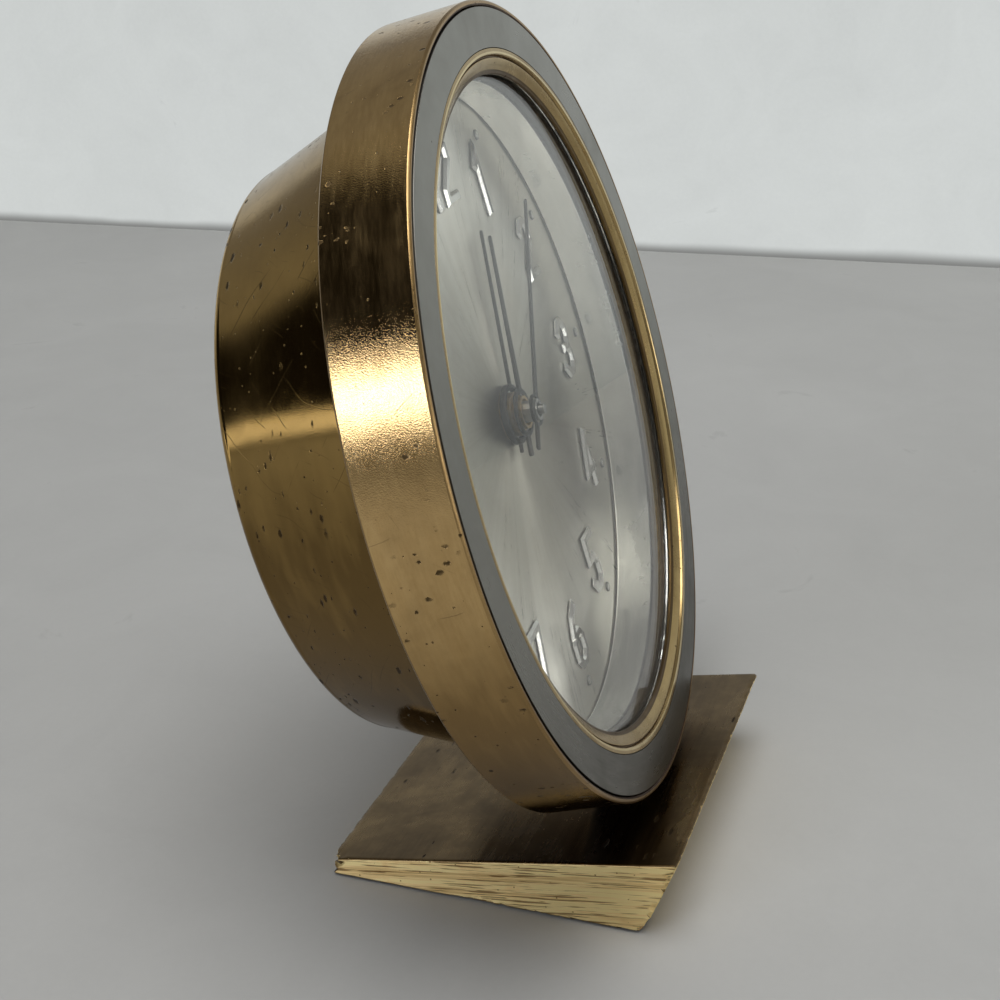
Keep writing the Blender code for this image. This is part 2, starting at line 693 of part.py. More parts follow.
def spiral(inner, outer, turns, thickness, steps_per_turn=12):
    """Outline of a flat spiral band from its inner end to its outer end."""
    count = int(turns * steps_per_turn)
    inside, outside = [], []
    for i in range(count + 1):
        angle = 2 * math.pi * turns * i / count
        radius = inner + (outer - inner) * i / count
        inside.append(tuple(polar(radius - thickness / 2, angle)))
        outside.append(tuple(polar(radius + thickness / 2, angle)))
    return inside + outside[::-1]


# Digits as lines on a grid that is 2 wide and 4 high

DIGIT_LINES = {
    "0": (((-1, -1.4), (-1, 1.4), (-0.4, 2), (0.4, 2), (1, 1.4), (1, -1.4), (0.4, -2), (-0.4, -2),
           (-1, -1.4)),),
    "1": (((-0.55, 1.35), (0, 2), (0, -2)),),
    "2": (((-1, 1.4), (-0.4, 2), (0.4, 2), (1, 1.4), (1, 0.5), (-1, -1.3), (-1, -2), (1, -2)),),
    "3": (
        ((-1, 1.4), (-0.4, 2), (0.4, 2), (1, 1.4), (1, 0.6), (0.5, 0), (1, -0.6), (1, -1.4), (0.4, -2),
         (-0.4, -2), (-1, -1.4)),
        ((0.7, 0), (-0.2, 0)),
    ),
    "4": (((0.9, -0.9), (-1.1, -0.9), (0.4, 2)), ((0.45, 0.4), (0.45, -2))),
    "5": (((1, 2), (-0.9, 2), (-0.9, 0.3), (0.4, 0.3), (1, -0.3), (1, -1.4), (0.4, -2), (-0.4, -2),
           (-1, -1.4)),),
    "6": (
        ((0.8, 2), (-0.3, 1.5), (-0.85, 0.4)),
        ((-1, -1.4), (-1, -0.3), (-0.4, 0.3), (0.4, 0.3), (1, -0.3), (1, -1.4), (0.4, -2), (-0.4, -2),
         (-1, -1.4)),
    ),
    "7": (((-1, 2), (1, 2), (-0.3, -2)),),
    "8": (
        ((-0.85, 0.6), (-0.85, 1.5), (-0.3, 2), (0.3, 2), (0.85, 1.5), (0.85, 0.6), (0.3, 0.1), (-0.3, 0.1),
         (-0.85, 0.6)),
        ((-1, -1.4), (-1, -0.6), (-0.4, 0), (0.4, 0), (1, -0.6), (1, -1.4), (0.4, -2), (-0.4, -2),
         (-1, -1.4)),
    ),
    "9": (
        ((-0.8, -2), (0.3, -1.5), (0.85, -0.4)),
        ((1, 1.4), (1, 0.3), (0.4, -0.3), (-0.4, -0.3), (-1, 0.3), (-1, 1.4), (-0.4, 2), (0.4, 2), (1, 1.4)),
    ),
}


def digit_strokes(digit, centre):
    """A digit's strokes about a centre, each as a list of outlines."""
    half_width = (NUMERAL_WIDTH - NUMERAL_STROKE) / 2
    half_height = (NUMERAL_HEIGHT - NUMERAL_STROKE) / 2
    strokes = []
    for line in DIGIT_LINES[digit]:
        points = [(centre.x + x * half_width, centre.y + y / 2 * half_height) for x, y in line]
        strokes.append(stroke(points, NUMERAL_STROKE))
    return strokes


def hour_point(hour, radius):
    """Point of an hour on the dial."""
    return polar(radius, math.pi / 2 - hour * math.pi / 6)


# Finishes: linear colour, roughness, metallic share and, for the crystal, alpha

def make_finishes():
    """All materials by name; each object takes its own copy."""
    return {
        "brass": ((0.42, 0.28, 0.11), 0.32, 1.0),
        "polished_brass": ((0.45, 0.30, 0.11), 0.20, 1.0),
        "gilt": ((0.58, 0.42, 0.18), 0.28, 1.0),
        "grey_steel": ((0.30, 0.29, 0.26), 0.38, 1.0),
        "silver": ((0.62, 0.61, 0.56), 0.34, 0.9),
        "pale_silver": ((0.60, 0.60, 0.56), 0.45, 0.6),
        "dark_steel": ((0.06, 0.055, 0.05), 0.35, 0.8),
        "steel": ((0.50, 0.50, 0.50), 0.30, 1.0),
        "blued_steel": ((0.05, 0.07, 0.20), 0.30, 1.0),
        "rubber": ((0.03, 0.028, 0.025), 0.70, 0.0),
        "crystal": ((0.92, 0.95, 0.94), 0.05, 0.0, 0.25),
        "felt": ((0.06, 0.035, 0.02), 0.95, 0.0),
    }


def finish_for(finishes, finish, name):
    """The material of one object."""
    return make_material(f"{name}_{finish}", *finishes[finish])


class Clock:
    """Builds every piece of the clock."""

    def __init__(self):
        self.shop = Workshop()
        self.finishes = make_finishes()

    def finish(self, name, kind):
        """Material for a named piece."""
        return finish_for(self.finishes, kind, name)

    # Foot

    def foot(self):
        """Wedge foot with a recessed pad, a saddle in its top pocket and one screw up into the rim."""
        shop = self.shop
        corners = foot_corners()
        shape = shop.box("foot_wedge", (FOOT_WIDTH, 1.0, 1.0), (0.0, 0.0, 0.0),
                         self.finish("foot_wedge", "brass"),
                         frame=shop.foot)
        order = {(-1, -1): 0, (1, -1): 1, (1, 1): 2, (-1, 1): 3}
        for vertex in shape.data.vertices:
            corner = corners[order[(int(math.copysign(1, vertex.co.y)), int(math.copysign(1, vertex.co.z)))]]
            vertex.co.y, vertex.co.z = corner
        bevel = shape.modifiers.new("Edges", "BEVEL")
        bevel.width = FOOT_BEVEL
        bevel.segments = 2
        pad_width = FOOT_WIDTH - 2 * PAD_INSET
        pad_depth = FOOT_DEPTH - 2 * PAD_INSET
        recess_top = PAD_THICKNESS + SEAT_GAP
        recess = shop.box("foot_recess_cutter",
                          (pad_width + 2 * SEAT_GAP, pad_depth + 2 * SEAT_GAP, 2 * recess_top),
                          (0.0, 0.0, 0.0), None, frame=shop.foot)
        shop.box("foot_pad", (pad_width, pad_depth, PAD_THICKNESS), (0.0, 0.0, PAD_THICKNESS / 2),
                 self.finish("foot_pad", "felt"), frame=shop.foot)
        top = -RIM_RADIUS - SEAT_GAP
        middle = -SADDLE_DEPTH
        saddle_low = top - SADDLE_HEIGHT
        saddle_block = SADDLE_HEIGHT + SADDLE_GRIP
        saddle = shop.box("case_saddle", (SADDLE_WIDTH, saddle_block, SADDLE_LENGTH),
                          (0.0, saddle_low + saddle_block / 2, middle), self.finish("case_saddle", "brass"))
        rim_room = shop.cylinder("rim_room_cutter", RIM_RADIUS + SEAT_GAP, -RIM_DEPTH, 2 * RIM_DEPTH, None,
                                 steps=LARGE_STEPS)
        pocket = shop.box(
            "saddle_pocket_cutter",
            (SADDLE_WIDTH + 2 * SEAT_GAP, 2 * SADDLE_HEIGHT, SADDLE_LENGTH + 2 * SEAT_GAP),
            (0.0, saddle_low - SEAT_GAP + SADDLE_HEIGHT, middle), None,
        )
        head_top = saddle_low - FOOT_SCREW_WEB
        below_foot = top - FOOT_DEPTH
        self.foot_screw(head_top, middle)
        shank_hole = self.radial_bar("foot_shank_cutter", FOOT_SCREW_RADIUS + SEAT_GAP, below_foot,
                                     -RIM_RADIUS + FOOT_SCREW_REACH + SEAT_GAP, middle)
        head_hole = self.radial_bar("foot_head_cutter", FOOT_SCREW_HEAD_RADIUS + SEAT_GAP, below_foot,
                                    head_top + SEAT_GAP, middle)
        shop.cut(saddle, rim_room, shank_hole)
        shop.cut(shape, recess, pocket, shank_hole, head_hole)
        return shank_hole

    def radial_bar(self, name, radius, low, high, depth_z, material=None):
        """Round bar along the case frame's Y, between two heights."""
        obj = self.shop.cylinder(name, radius, 0.0, high - low, material)
        obj.data.transform(Matrix.Rotation(-math.pi / 2, 4, "X"))
        low_y = min(vertex.co.y for vertex in obj.data.vertices)
        obj.data.transform(Matrix.Translation((0.0, low - low_y, depth_z)))
        return obj

    def foot_screw(self, head_top, depth_z):
        """Screw that holds the case on the foot."""
        screw = self.radial_bar("foot_screw", FOOT_SCREW_RADIUS, head_top - FOOT_SCREW_HEAD_HEIGHT / 2,
                                -RIM_RADIUS + FOOT_SCREW_REACH, depth_z, self.finish("foot_screw", "steel"))
        head = self.radial_bar("foot_screw_head_tool", FOOT_SCREW_HEAD_RADIUS,
                               head_top - FOOT_SCREW_HEAD_HEIGHT,
                               head_top, depth_z)
        self.shop.join(screw, head)

    # Case front

    def rim(self, shank_hole):
        """Flat cylindrical rim ring with a thin front lip, a recess for the annulus and an inner web."""
        bore = ANNULUS_INNER
        spigot = DRUM_FRONT_RADIUS + SEAT_GAP
        profile = [
            (RIM_RADIUS - RIM_EDGE, 0.0),
            (RIM_RADIUS, -RIM_EDGE),
            (RIM_RADIUS, -RIM_DEPTH + RIM_EDGE),
            (RIM_RADIUS - RIM_EDGE, -RIM_DEPTH),
            (spigot, -RIM_DEPTH),
            (spigot, -WEB_BACK),
            (RIM_WEB_INNER, -WEB_BACK),
            (RIM_WEB_INNER, -WEB_FRONT),
            (bore, -WEB_FRONT),
            (bore, -ANNULUS_SEAT),
            (GROOVE_OUTER, -ANNULUS_SEAT),
            (GROOVE_OUTER, -RIM_EDGE / 2),
            (LIP_INNER, 0.0),
        ]
        rim = self.shop.turned("case_rim", profile, self.finish("case_rim", "brass"), steps=LARGE_STEPS)
        self.shop.cut(rim, shank_hole)

    def front_rings(self):
        """Grey annulus, gold stepped bezel, gasket, crystal and the recess wall."""
        shop = self.shop
        outer = ANNULUS_OUTER
        inner = ANNULUS_INNER
        shop.turned(
            "front_annulus",
            [(outer, -ANNULUS_RECESS), (outer, -ANNULUS_BACK), (inner, -ANNULUS_BACK),
             (inner, -ANNULUS_RECESS)],
            self.finish("front_annulus", "grey_steel"), steps=LARGE_STEPS,
        )
        flat = BEZEL_OUTER - BEZEL_FLAT
        step = flat - BEZEL_RISER
        cove = BEZEL_INNER + BEZEL_TOE
        shop.turned(
            "inner_bezel",
            [
                (BEZEL_OUTER, -ANNULUS_RECESS / 2),
                (BEZEL_OUTER, -BEZEL_DEPTH),
                (BEZEL_INNER, -BEZEL_DEPTH),
                (BEZEL_INNER, -BEZEL_FALL - BEZEL_CHAMFER),
                (cove, -BEZEL_FALL),
                (cove + BEZEL_BULGE_AT * (step - cove), -BEZEL_FALL * BEZEL_BULGE_FALL),
                (step, -ANNULUS_RECESS / 2 - BEZEL_STEP),
                (flat, -ANNULUS_RECESS / 2),
            ],
            self.finish("inner_bezel", "gilt"), steps=LARGE_STEPS,
        )
        sleeve = CRYSTAL_RADIUS + SEAT_GAP
        shop.turned(
            "crystal_gasket",
            [
                (BEZEL_OUTER, -CRYSTAL_FRONT),
                (BEZEL_OUTER, -GASKET_BACK),
                (REHAUT_FRONT, -GASKET_BACK),
                (REHAUT_FRONT, -GASKET_SHELF),
                (sleeve, -GASKET_SHELF),
                (sleeve, -CRYSTAL_FRONT),
            ],
            self.finish("crystal_gasket", "rubber"), steps=LARGE_STEPS,
        )
        rings = 2
        dome = [
            (CRYSTAL_DOME_RADIUS * i / rings, -CRYSTAL_FRONT + CRYSTAL_DOME * (1 - (i / rings) ** 2))
            for i in range(rings + 1)
        ]
        shop.turned(
            "crystal",
            dome + [(CRYSTAL_RADIUS, -CRYSTAL_FRONT), (CRYSTAL_RADIUS, -CRYSTAL_BACK), (0.0, -CRYSTAL_BACK)],
            self.finish("crystal", "crystal"), steps=LARGE_STEPS, ring=False,
        )
        shop.turned(
            "recess_wall",
            [
                (REHAUT_OUTER, -WEB_FRONT),
                (REHAUT_OUTER, -REHAUT_DEPTH),
                (REHAUT_BACK, -REHAUT_DEPTH),
                (REHAUT_FRONT, -WEB_FRONT),
            ],
            self.finish("recess_wall", "pale_silver"), steps=LARGE_STEPS,
        )

    def dial(self):
        """Dial disc with raised numerals, hour dots and a centre hole for the pipes."""
        shop = self.shop
        dial = shop.plate("dial", [circle(DIAL_RADIUS, LARGE_STEPS), circle(DIAL_HOLE, MEDIUM_STEPS)],
                          DIAL_DEPTH,
                          DIAL_THICKNESS, self.finish("dial", "silver"))
        sunk = DIAL_THICKNESS / 2
        tools = []
        for hour in range(1, 13):
            centre = hour_point(hour, NUMERAL_RADIUS)
            digits = str(hour)
            for place, digit in enumerate(digits):
                offset = Vector(((place - (len(digits) - 1) / 2) * DIGIT_PITCH, 0.0))
                for line, outlines in enumerate(digit_strokes(digit, centre + offset)):
                    tools.append(shop.plate(f"numeral_{hour:02d}_{place}{line}", outlines,
                                            DIAL_DEPTH - NUMERAL_RELIEF, NUMERAL_RELIEF + sunk, None))
            tools.append(shop.cylinder(f"dot_{hour:02d}", DOT_RADIUS, DIAL_DEPTH - DOT_RELIEF,
                                       DIAL_DEPTH + sunk,
                                       None, hour_point(hour, DOT_CIRCLE), steps=8))
        shop.join(dial, *tools)

    # Rear case

    def drum(self):
        """Tapered drum: a spun shell with a spigot inside the rim, a rounded rear edge and a cover ledge."""
        slope = DRUM_TAPER / DRUM_LENGTH
        wall = DRUM_WALL
        corner_steps = 3
        outer = [(DRUM_FRONT_RADIUS, -DRUM_FRONT), (DRUM_FRONT_RADIUS, -DRUM_SEAM)]
        for i in range(corner_steps + 1):
            angle = math.pi / 2 * i / corner_steps
            outer.append((
                DRUM_REAR_RADIUS + slope * DRUM_CORNER - DRUM_CORNER * (1 - math.cos(angle)),
                -(DRUM_REAR - DRUM_CORNER + DRUM_CORNER * math.sin(angle)),
            ))
        opening = COVER_RADIUS + SEAT_GAP
        profile = outer + [
            (opening, -DRUM_REAR),
            (opening, -LEDGE_BACK),
            (opening - LEDGE_WIDTH, -LEDGE_BACK),
            (opening - LEDGE_WIDTH, -LEDGE_FRONT),
            (drum_inner_radius(LEDGE_FRONT), -LEDGE_FRONT),
            (DRUM_FRONT_RADIUS - wall, -DRUM_SEAM),
            (DRUM_FRONT_RADIUS - wall, -DRUM_FRONT),
        ]
        shop = self.shop
        drum = shop.turned("rear_drum", profile, self.finish("rear_drum", "polished_brass"),
                           steps=LARGE_STEPS)
        for number, angle in enumerate(COVER_SCREW_ANGLES, start=1):
            at = polar(COVER_SCREW_CIRCLE, math.radians(angle))
            shop.cut(drum,
                     shop.cylinder(f"ledge_hole_cutter_{number}", COVER_SCREW_RADIUS + SEAT_GAP, RIM_DEPTH,
                                         DRUM_REAR, None, at))

    def back_cover(self):
        """Flat back cover with holes for the arbors, a regulator slot, sound holes and three screws."""
        shop = self.shop
        holes = [
            circle(ARBOR_RADIUS + COVER_HOLE_GAP, SMALL_STEPS, CENTRE),
            circle(PIVOT_RADIUS + COVER_HOLE_GAP, SMALL_STEPS, ALARM_SET_SITE),
            circle(WINDING_ARBOR_RADIUS + RUNNING_GAP, SMALL_STEPS, BARREL_SITE),
            circle(WINDING_ARBOR_RADIUS + RUNNING_GAP, SMALL_STEPS, ALARM_SITE),
            circle(STOP_ROD_RADIUS + RUNNING_GAP, SMALL_STEPS, STOP_POINT),
        ]
        for angle in COVER_SCREW_ANGLES:
            holes.append(circle(COVER_SCREW_RADIUS + SEAT_GAP, SMALL_STEPS,
                                polar(COVER_SCREW_CIRCLE, math.radians(angle))))
        for i in range(SOUND_HOLE_COUNT):
            angle = -math.pi / 2 + (i - (SOUND_HOLE_COUNT - 1) / 2) * SOUND_HOLE_STEP
            holes.append(circle(SOUND_HOLE_RADIUS, 12, polar(SOUND_HOLE_CIRCLE, angle)))
        holes.append(self.regulator_slot())
        shop.plate("back_cover", [circle(COVER_RADIUS, LARGE_STEPS), *holes], COVER_FRONT, COVER_THICKNESS,
                   self.finish("back_cover", "brass"))
        for number, angle in enumerate(COVER_SCREW_ANGLES, start=1):
            at = polar(COVER_SCREW_CIRCLE, math.radians(angle))
            name = f"cover_screw_{number}"
            head = DRUM_REAR + SEAT_GAP
            screw = shop.cylinder(name, COVER_SCREW_RADIUS, LEDGE_FRONT - COVER_SCREW_REACH,
                                  head + COVER_SCREW_HEAD_HEIGHT / 3, self.finish(name, "steel"), at)
            cap = shop.cylinder(f"{name}_head_tool", COVER_SCREW_HEAD_RADIUS, head,
                                head + COVER_SCREW_HEAD_HEIGHT,
                                None, at)
            slot = shop.box(f"{name}_slot_cutter",
                            (3 * COVER_SCREW_HEAD_RADIUS, SCREW_SLOT_WIDTH, 2 * SCREW_SLOT_DEPTH),
                            (at.x, at.y, -head - COVER_SCREW_HEAD_HEIGHT), None)
            shop.join(screw, cap)
            shop.cut(screw, slot)

    def regulator_slot(self):
        """Curved slot that the regulator's pin moves in."""
        half_width = REGULATOR_PIN_RADIUS + RUNNING_GAP
        reach = REGULATOR_TRAVEL + REGULATOR_SPARE
        steps = 6
        angles = [REGULATOR_ANGLE - reach + 2 * reach * i / steps for i in range(steps + 1)]
        outer = [tuple(BALANCE_SITE + polar(REGULATOR_LENGTH + half_width, angle)) for angle in angles]
        inner = [tuple(BALANCE_SITE + polar(REGULATOR_LENGTH - half_width, angle)) for angle in angles]
        return outer + inner[::-1]

    # Movement frame

    def plates(self):
        """Two movement plates with pivot holes, joined by pillars."""
        shop = self.shop
        pivot = PIVOT_RADIUS + RUNNING_GAP
        sites = (THIRD_SITE, ESCAPE_SITE, PALLET_SITE, BALANCE_SITE, STRIKE_SITE, HAMMER_SITE,
                 ALARM_SET_SITE)
        front_holes = [circle(pivot, SMALL_STEPS, site) for site in sites]
        front_holes.append(circle(CANNON_BORE, SMALL_STEPS))
        front_holes += [circle(WINDING_ARBOR_RADIUS / 2 + RUNNING_GAP, SMALL_STEPS, site)
                        for site in (BARREL_SITE, ALARM_SITE)]
        front = shop.plate("movement_front_plate", [circle(FRONT_PLATE_RADIUS, LARGE_STEPS), *front_holes],
                           FRONT_PLATE_DEPTH, PLATE_THICKNESS, self.finish("movement_front_plate", "brass"))
        stud = shop.cylinder("minute_stud_tool", PIVOT_RADIUS, HOUR_LAYER,
                             FRONT_PLATE_DEPTH + PLATE_THICKNESS / 2, None,
                             MINUTE_SITE)
        shop.join(front, stud)
        rear_holes = [circle(pivot, SMALL_STEPS, site) for site in sites]
        rear_holes.append(circle(CANNON_BORE, SMALL_STEPS))
        rear_holes += [circle(WINDING_ARBOR_RADIUS + RUNNING_GAP, SMALL_STEPS, site)
                       for site in (BARREL_SITE, ALARM_SITE)]
        rear_holes.append(circle(STOP_ROD_RADIUS + RUNNING_GAP, SMALL_STEPS, STOP_POINT))
        shop.plate("movement_rear_plate", [circle(REAR_PLATE_RADIUS, LARGE_STEPS), *rear_holes],
                   REAR_PLATE_DEPTH,
                   PLATE_THICKNESS, self.finish("movement_rear_plate", "brass"))
        for number, angle in enumerate(PILLAR_ANGLES, start=1):
            name = f"movement_pillar_{number}"
            shop.cylinder(name, PILLAR_RADIUS, FRONT_PLATE_BACK + SEAT_GAP, REAR_PLATE_DEPTH - SEAT_GAP,
                          self.finish(name, "brass"), polar(PILLAR_CIRCLE, math.radians(angle)))

    # Hands and motion work

    def hands(self):
        """Minute, hour and alarm hands, each on its own pipe."""
        shop = self.shop
        dark = "dark_steel"
        minute = hand(MINUTE_LENGTH, MINUTE_TAIL, MINUTE_HUB_RADIUS, MINUTE_ROOT_WIDTH, MINUTE_TIP_WIDTH,
                      MINUTE_ANGLE)
        shop.plate("minute_hand", [minute, circle(CANNON_OUTER + HAND_PIPE_CLEAR)], MINUTE_DEPTH,
                   HAND_THICKNESS,
                   self.finish("minute_hand", dark))
        hour = hand(HOUR_LENGTH, HOUR_TAIL, HOUR_OUTER + HOUR_COLLAR, HOUR_ROOT_WIDTH, HOUR_TIP_WIDTH,
                    HOUR_ANGLE)
        shop.plate("hour_hand", [hour, circle(HOUR_OUTER + HAND_PIPE_CLEAR)], HOUR_DEPTH, HAND_THICKNESS,
                   self.finish("hour_hand", dark))
        hub = circle(ALARM_HUB_RADIUS, MEDIUM_STEPS)
        alarm = shop.plate("alarm_hand", [hub, circle(ALARM_OUTER + HAND_PIPE_CLEAR)], ALARM_DEPTH,
                           ALARM_HUB_THICKNESS, self.finish("alarm_hand", dark))
        start = (ALARM_OUTER + HAND_PIPE_CLEAR + ALARM_HUB_RADIUS) / 2
        root = ALARM_ROOT_WIDTH / 2
        tip = ALARM_TIP_WIDTH / 2
        blade = turned_outline([(-root, start), (root, start), (tip, ALARM_LENGTH), (-tip, ALARM_LENGTH)],
                               ALARM_ANGLE)
        tail = turned_outline([(-root, -ALARM_TAIL), (root, -ALARM_TAIL), (root, -start), (-root, -start)],
                              ALARM_ANGLE)
        front = ALARM_DEPTH + ALARM_BLADE_SETBACK
        shop.join(alarm, shop.plate("alarm_blade_tool", [blade], front, HAND_THICKNESS, None),
                  shop.plate("alarm_tail_tool", [tail], front, HAND_THICKNESS, None))

    def motion_work(self):
        """Cannon pinion, hour wheel, minute wheel and alarm wheel between the dial and the front plate."""
        shop = self.shop
        back = MINUTE_LAYER + WHEEL_THICKNESS
        cannon_phase = 0.0
        minute_phase = meshed_phase(MINUTE_WHEEL_DIRECTION, CANNON_TEETH, cannon_phase, MINUTE_WHEEL_TEETH)
        hour_phase = meshed_phase(MINUTE_WHEEL_DIRECTION + math.pi, MINUTE_PINION_TEETH, minute_phase,
                                  HOUR_TEETH)
        self.pipe_gear("cannon_pinion", CANNON_BORE, CANNON_OUTER, MINUTE_DEPTH - PIPE_PROUD, MINUTE_MODULE,
                       CANNON_TEETH, cannon_phase, MINUTE_LAYER, "steel")
        self.pipe_gear("hour_wheel", HOUR_BORE, HOUR_OUTER, HOUR_DEPTH - PIPE_PROUD, HOUR_MODULE, HOUR_TEETH,
                       hour_phase, HOUR_LAYER, "brass")
        self.pipe_gear("alarm_wheel", ALARM_BORE, ALARM_OUTER, ALARM_DEPTH - PIPE_PROUD, ALARM_MODULE,
                       ALARM_TEETH,
                       0.0, ALARM_LAYER, "brass")
        bore = circle(PIVOT_RADIUS + RUNNING_GAP, SMALL_STEPS)
        wheel = shop.plate("minute_wheel", [gear(MINUTE_MODULE, MINUTE_WHEEL_TEETH, minute_phase), bore],
                           MINUTE_LAYER, WHEEL_THICKNESS, self.finish("minute_wheel", "brass"), MINUTE_SITE)
        pinion = shop.plate("minute_pinion_tool",
                            [gear(HOUR_MODULE, MINUTE_PINION_TEETH, minute_phase), bore],
                            HOUR_LAYER - PINION_OVERLAP, back - HOUR_LAYER, None, MINUTE_SITE)
        shop.join(wheel, pinion)

    def pipe_gear(self, name, bore, outer, front, module, teeth, phase, layer, finish):
        """Gear on a pipe that reaches forward to its hand."""
        shop = self.shop
        hole = circle(bore, SMALL_STEPS)
        wheel = shop.plate(name, [gear(module, teeth, phase), hole], layer, WHEEL_THICKNESS,
                           self.finish(name, finish))
        pipe = shop.plate(f"{name}_pipe_tool", [circle(outer, SMALL_STEPS), hole], front,
                          layer + WHEEL_THICKNESS / 2 - front, None)
        shop.join(wheel, pipe)

    def alarm_setting(self):
        """Arbor and knob that turn the alarm wheel."""
        shop = self.shop
        phase = meshed_phase(ALARM_PINION_DIRECTION, ALARM_TEETH, 0.0, ALARM_PINION_TEETH)
        knob_front = DRUM_REAR + KNOB_GAP
        arbor = shop.cylinder("alarm_set_arbor", PIVOT_RADIUS, ALARM_LAYER,
                              knob_front + KNOB_HEIGHT * KNOB_BORE_SHARE,
                              self.finish("alarm_set_arbor", "steel"), ALARM_SET_SITE)
        pinion = shop.plate("alarm_set_pinion_tool", [gear(ALARM_MODULE, ALARM_PINION_TEETH, phase)],
                            ALARM_LAYER - PINION_OVERLAP / 2, WHEEL_THICKNESS + PINION_OVERLAP / 2, None,
                            ALARM_SET_SITE)
        shop.join(arbor, pinion)
        self.knob("alarm_set_knob", ALARM_KNOB_RADIUS, ALARM_SET_SITE, PIVOT_RADIUS, knob_front)

    def knob(self, name, radius, site, arbor, front):
        """Fluted knob with a blind bore over its arbor's end."""
        shop = self.shop
        knob = shop.plate(name, [fluted(radius, KNOB_FLUTE_DEPTH, KNOB_FLUTES)], front, KNOB_HEIGHT,
                          self.finish(name, "brass"), site)
        bore = shop.cylinder(f"{name}_bore_cutter", arbor + SEAT_GAP, front - KNOB_HEIGHT,
                             front + KNOB_HEIGHT * KNOB_BORE_SHARE + SEAT_GAP, None, site)
        shop.cut(knob, bore)

    # Going train

    def centre_arbor(self):
        """Centre arbor from the minute hand to the setting knob; its wheel and pinion turn on it."""
        shop = self.shop
        knob_front = DRUM_REAR + KNOB_GAP
        shop.cylinder("centre_arbor", ARBOR_RADIUS, ARBOR_TIP_DEPTH,
                      knob_front + KNOB_HEIGHT * KNOB_BORE_SHARE,
                      self.finish("centre_arbor", "steel"))
        bore = circle(ARBOR_RADIUS + RUNNING_GAP, SMALL_STEPS)
        ring = [gear(CENTRE_MODULE, CENTRE_TEETH), bore]
        ring += self.crossings(CENTRE_MODULE * (CENTRE_TEETH / 2 - WHEEL_RIM_MODULES), CENTRE_WHEEL_HUB,
                               CENTRE_WHEEL_SPOKES, SPOKE_WIDTH / 2)
        wheel = shop.plate("centre_wheel", ring, CENTRE_LAYER, WHEEL_THICKNESS,
                           self.finish("centre_wheel", "brass"))
        pinion_front = CENTRE_LAYER + WHEEL_THICKNESS / 2
        pinion_back = BARREL_LAYER + WHEEL_THICKNESS + PINION_OVERLAP
        pinion = shop.plate("centre_pinion_tool", [gear(BARREL_MODULE, CENTRE_PINION_TEETH), bore],
                            pinion_front,
                            pinion_back - pinion_front, None)
        shop.join(wheel, pinion)
        self.knob("hand_set_knob", HAND_KNOB_RADIUS, CENTRE, ARBOR_RADIUS, knob_front)

    def crossings(self, outer, inner, arms, half_arm):
        """Openings that leave straight spokes."""
        openings = []
        steps = 4
        for i in range(arms):
            middle = (i + 0.5) * 2 * math.pi / arms
            spread_out = math.pi / arms - math.asin(half_arm / outer)
            spread_in = math.pi / arms - math.asin(half_arm / inner)
            arc = [tuple(polar(outer,
                               middle - spread_out + 2 * spread_out * k / steps)) for k in range(steps + 1)]
            arc += [tuple(polar(inner, middle + spread_in - spread_in * k)) for k in range(3)]
            openings.append(arc)
        return openings

    def train(self):
        """Third and escape wheels with their pinions."""
        shop = self.shop
        front = FRONT_PLATE_DEPTH + PIVOT_SETBACK
        back = REAR_PLATE_BACK - PIVOT_SETBACK
        third_phase = meshed_phase(THIRD_DIRECTION, CENTRE_TEETH, 0.0, THIRD_PINION_TEETH)
        third = shop.cylinder("third_wheel", PIVOT_RADIUS, front, back, self.finish("third_wheel", "brass"),
                              THIRD_SITE)
        third_pinion = shop.plate("third_pinion_tool",
                                  [gear(CENTRE_MODULE, THIRD_PINION_TEETH, third_phase)],
                                  CENTRE_LAYER - PINION_OVERLAP, WHEEL_THICKNESS + 2 * PINION_OVERLAP, None,
                                  THIRD_SITE)
        third_disc = shop.plate("third_disc_tool", [gear(THIRD_MODULE, THIRD_TEETH, third_phase)],
                                THIRD_LAYER,
                                WHEEL_THICKNESS, None, THIRD_SITE)
        shop.join(third, third_pinion, third_disc)
        escape_phase = meshed_phase(ESCAPE_DIRECTION, THIRD_TEETH, third_phase, ESCAPE_PINION_TEETH)
        escape = shop.cylinder("escape_wheel", PIVOT_RADIUS, front, back,
                               self.finish("escape_wheel", "brass"),
                               ESCAPE_SITE)
        escape_pinion = shop.plate("escape_pinion_tool",
                                   [gear(THIRD_MODULE, ESCAPE_PINION_TEETH, escape_phase)],
                                   THIRD_LAYER - PINION_OVERLAP, WHEEL_THICKNESS + 2 * PINION_OVERLAP, None,
                                   ESCAPE_SITE)
        escape_disc = shop.plate("escape_disc_tool", [ratchet(ESCAPE_RADIUS, ESCAPE_TOOTH, ESCAPE_TEETH)],
                                 ESCAPE_LAYER,
                                 WHEEL_THICKNESS, None, ESCAPE_SITE)
        shop.join(escape, escape_pinion, escape_disc)

